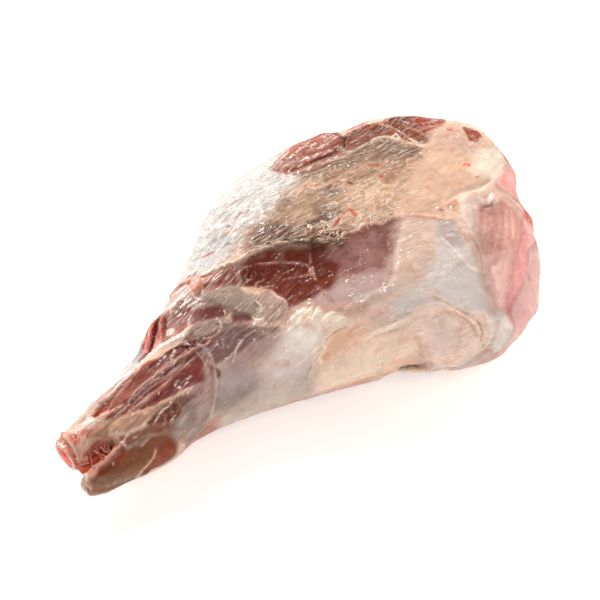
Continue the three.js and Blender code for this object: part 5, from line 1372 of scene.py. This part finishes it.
def notch_membrane():
    """The thin raw membrane at the bottom of the slot. The glow of the table's light through it is
    painted into its colour: bright orange at the open end, turning deep red towards the inner end,
    where painted shade falls.
    """
    bone_side = rounded([(-174, -14, 22), (-166, -14, 25), (-158, -14, 27.5), (-147, -15, 30)], 6, False)
    heel_side = rounded([(-169, -33, 27), (-163, -32, 30), (-156, -31, 33), (-147, -29, 34)], 6, False)
    across, along = 12, len(bone_side)
    t = np.linspace(0, 1, across)[None, :, None]
    sheet = bone_side[:, None] * (1 - t) + heel_side[:, None] * t
    sheet[..., 2] -= (4 * t * (1 - t) * 3.5)[..., 0]
    sheet = sheet.reshape(-1, 3)
    sheet[:, 2] += ripple(sheet / 3.0, 61) * 0.9
    points = np.concatenate([sheet, sheet - (0, 0, 1.4)])
    n, faces = along * across, []
    for i in range(along - 1):
        for j in range(across - 1):
            a, b = i * across + j, (i + 1) * across + j
            c, d = b + 1, a + 1
            faces += [(a, b, c, d), (d + n, c + n, b + n, a + n)]
    ring = [*range(across), *(i * across + across - 1 for i in range(1, along)),
            *((along - 1) * across + j for j in range(across - 2, -1, -1)),
            *(i * across for i in range(along - 2, 0, -1))]
    faces += [(a, b, b + n, a + n) for a, b in zip(ring, ring[1:] + ring[:1])]
    mesh = sewn("notch_membrane", points, faces)
    dye(mesh, "flesh", mixed("#ea7247", "#7c2418", ease(points[:, :1], -162, -148)))
    piece("notch_membrane", mesh, FASCIA, "meat")


notch_membrane()

# the middle of the sawn face in mm, and the way the bone runs from it into the leg
BONE_END, BONE_ALONG = np.array([-176.8, -7.8, 27.0]), np.array([0.988, 0.135, 0.063])
BONE_SIDE = np.cross(BONE_ALONG, (0, 0, 1)) / np.linalg.norm(np.cross(BONE_ALONG, (0, 0, 1)))
BONE_UP = np.cross(BONE_SIDE, BONE_ALONG)


def round_bone(along, turn, radius):
    """A place near the sawn end: mm along the bone from the cut, turn round it, mm from its middle."""
    along, turn, radius = (np.asarray(v, float)[..., None] for v in (along, turn, radius))
    return BONE_END + BONE_ALONG * along + radius * (BONE_SIDE * np.cos(turn) + BONE_UP * np.sin(turn))


def torn_collar():
    """Raw flesh and bone skin that taper from the leg on to the sawn bone."""
    turns, steps = 96, 14
    a = np.linspace(0, 2 * math.pi, turns, endpoint=False)[:, None]
    t = np.linspace(0, 1, steps)[None]
    along = 8.5 - 6.3 * t + 0.6 * np.sin(3 * a + 1) * t + 0 * a
    radius = 12.6 - 3.4 * t ** 0.7 + 0 * a
    points = round_bone(along, a + 0 * t, radius)
    rough = ripple(points.reshape(-1, 3) / 2.4, 71).reshape(turns, steps)
    radius = radius + rough * 0.55 * np.sin(math.pi * np.clip(t + 0.15, 0, 1))
    outer = round_bone(along, a + 0 * t, radius).reshape(-1, 3)
    inner = round_bone(along, a + 0 * t, np.minimum(radius - 1.5, 9.0)).reshape(-1, 3)
    points, n = np.concatenate([outer, inner]), len(outer)
    faces = []
    for i in range(turns):
        k = (i + 1) % turns
        for j in range(steps - 1):
            p, q, r, w = i * steps + j, i * steps + j + 1, k * steps + j + 1, k * steps + j
            faces += [(p, q, r, w), (w + n, r + n, q + n, p + n)]
        for j in (0, steps - 1):
            p, q = i * steps + j, k * steps + j
            faces.append((p, q, q + n, p + n))
    mesh = sewn("torn_collar", points, faces)
    share = ease(ripple(points / (2.5, 1.6, 1.6), 72), -0.5, 0.6)[:, None]
    dye(mesh, "flesh", mixed("#c25a4c", "#e5a894", share))
    piece("torn_collar", mesh, FASCIA, "meat")
    fibres = []
    for turn in np.linspace(0, 2 * math.pi, 46, endpoint=False) + rng.normal(0, 0.06, 46):
        t, twist = np.linspace(0, 1, 7), rng.normal(0, 0.12)
        out = rng.uniform(0.6, 3.4)
        fibres.append((round_bone(8.0 + (out - 8.0) * t, turn + twist * t,
                                  12.7 - 3.2 * t ** 0.8 + rng.normal(0, 0.12, 7)),
                       rng.uniform(0.25, 0.6) * (1 - 0.5 * t),
                       rng.choice(["#efc8b6", "#d98d7c", "#b5473a", "#e9b5a3"])))
    strands("collar_fibres", fibres, FASCIA, "meat", sides=5)


torn_collar()


# ---- bone, marrow and heel tendon

SAW_CUT, TIP = 176.5, 178.8        # mm from the middle of the leg to the sawn face and to the part's end


def finer_to(mesh, along, rounds):
    """Finer faces from the sawn end to a place in mm along the leg."""
    for _ in range(rounds):
        finer(mesh, lambda a, b: min(a.co.x, b.co.x) < along * MM)


def shank_bone():
    mesh = solid_copy("shank_bone")
    finer_to(mesh, -165, 3)
    co = corners(mesh) / MM
    n = outward(mesh)
    face = ease(-co[:, 0], SAW_CUT - 2, SAW_CUT)
    co = co + n * (ripple(co / 1.6, 41) * 0.25 * face)[:, None]
    put_corners(mesh, co * MM)
    cut = mixed("#f2d6c4", "#e09a8a", ease(ripple(co / 4, 42)[:, None], -0.4, 0.6))
    raw = np.array(linear("#cf7d6c"))
    dye(mesh, "flesh", raw + (cut - raw) * face[:, None])
    piece("shin_bone", mesh, SAWN_BONE, "bone", "shank_bone")


def bone_marrow():
    mesh = solid_copy("bone_marrow")
    finer_to(mesh, -172, 3)
    co = corners(mesh) / MM
    face = ease(-co[:, 0], SAW_CUT - 2.5, SAW_CUT)
    off_axis = np.hypot(co[:, 1] - BONE_END[1], co[:, 2] - BONE_END[2])
    co[:, 0] -= face * (0.5 + 0.9 * (1 - ease(off_axis, 2, 9)) - ripple(co / 2.2, 43) * 0.3)
    co[:, 0] = np.maximum(co[:, 0], -TIP)
    put_corners(mesh, co * MM)
    piece("red_marrow", mesh, RED_MARROW, "marrow", "bone_marrow")


def heel_tendon():
    mesh = solid_copy("heel_tendon")
    finer_to(mesh, -165, 2)
    co = corners(mesh) / MM
    n = len(co)
    dye(mesh, "flesh", np.tile(linear("#cdb09a"), (n, 1)))
    store(mesh, "grain", "FLOAT_VECTOR", np.column_stack([co[:, 0], co[:, 1] + co[:, 2], np.zeros(n)]))
    store(mesh, "tissue", "FLOAT_VECTOR", np.tile((0.0, 0.0, 0.8), (n, 1)))
    dye(mesh, "under", np.tile(linear("#a8806c"), (n, 1)))
    store(mesh, "skin", "FLOAT_VECTOR", np.tile((0.5, 0.4, 0.3), (n, 1)))
    store(mesh, "thin", "FLOAT", np.full(n, 0.6))
    piece("heel_cord", mesh, RAW_LAMB, "tendon", "heel_tendon")


shank_bone()
bone_marrow()
heel_tendon()

# ---- the floor

floor_mesh = bpy.data.meshes.new("floor")
floor_mesh.from_pydata([(-6, -6, 0), (6, -6, 0), (6, 6, 0), (-6, 6, 0)], [], [(0, 1, 2, 3)])
floor_mesh.materials.append(pale_floor())
keep(bpy.data.objects.new("floor", floor_mesh))
bpy.data.objects["floor"].location.z = -FLOOR_GAP * MM

bpy.context.view_layer.update()
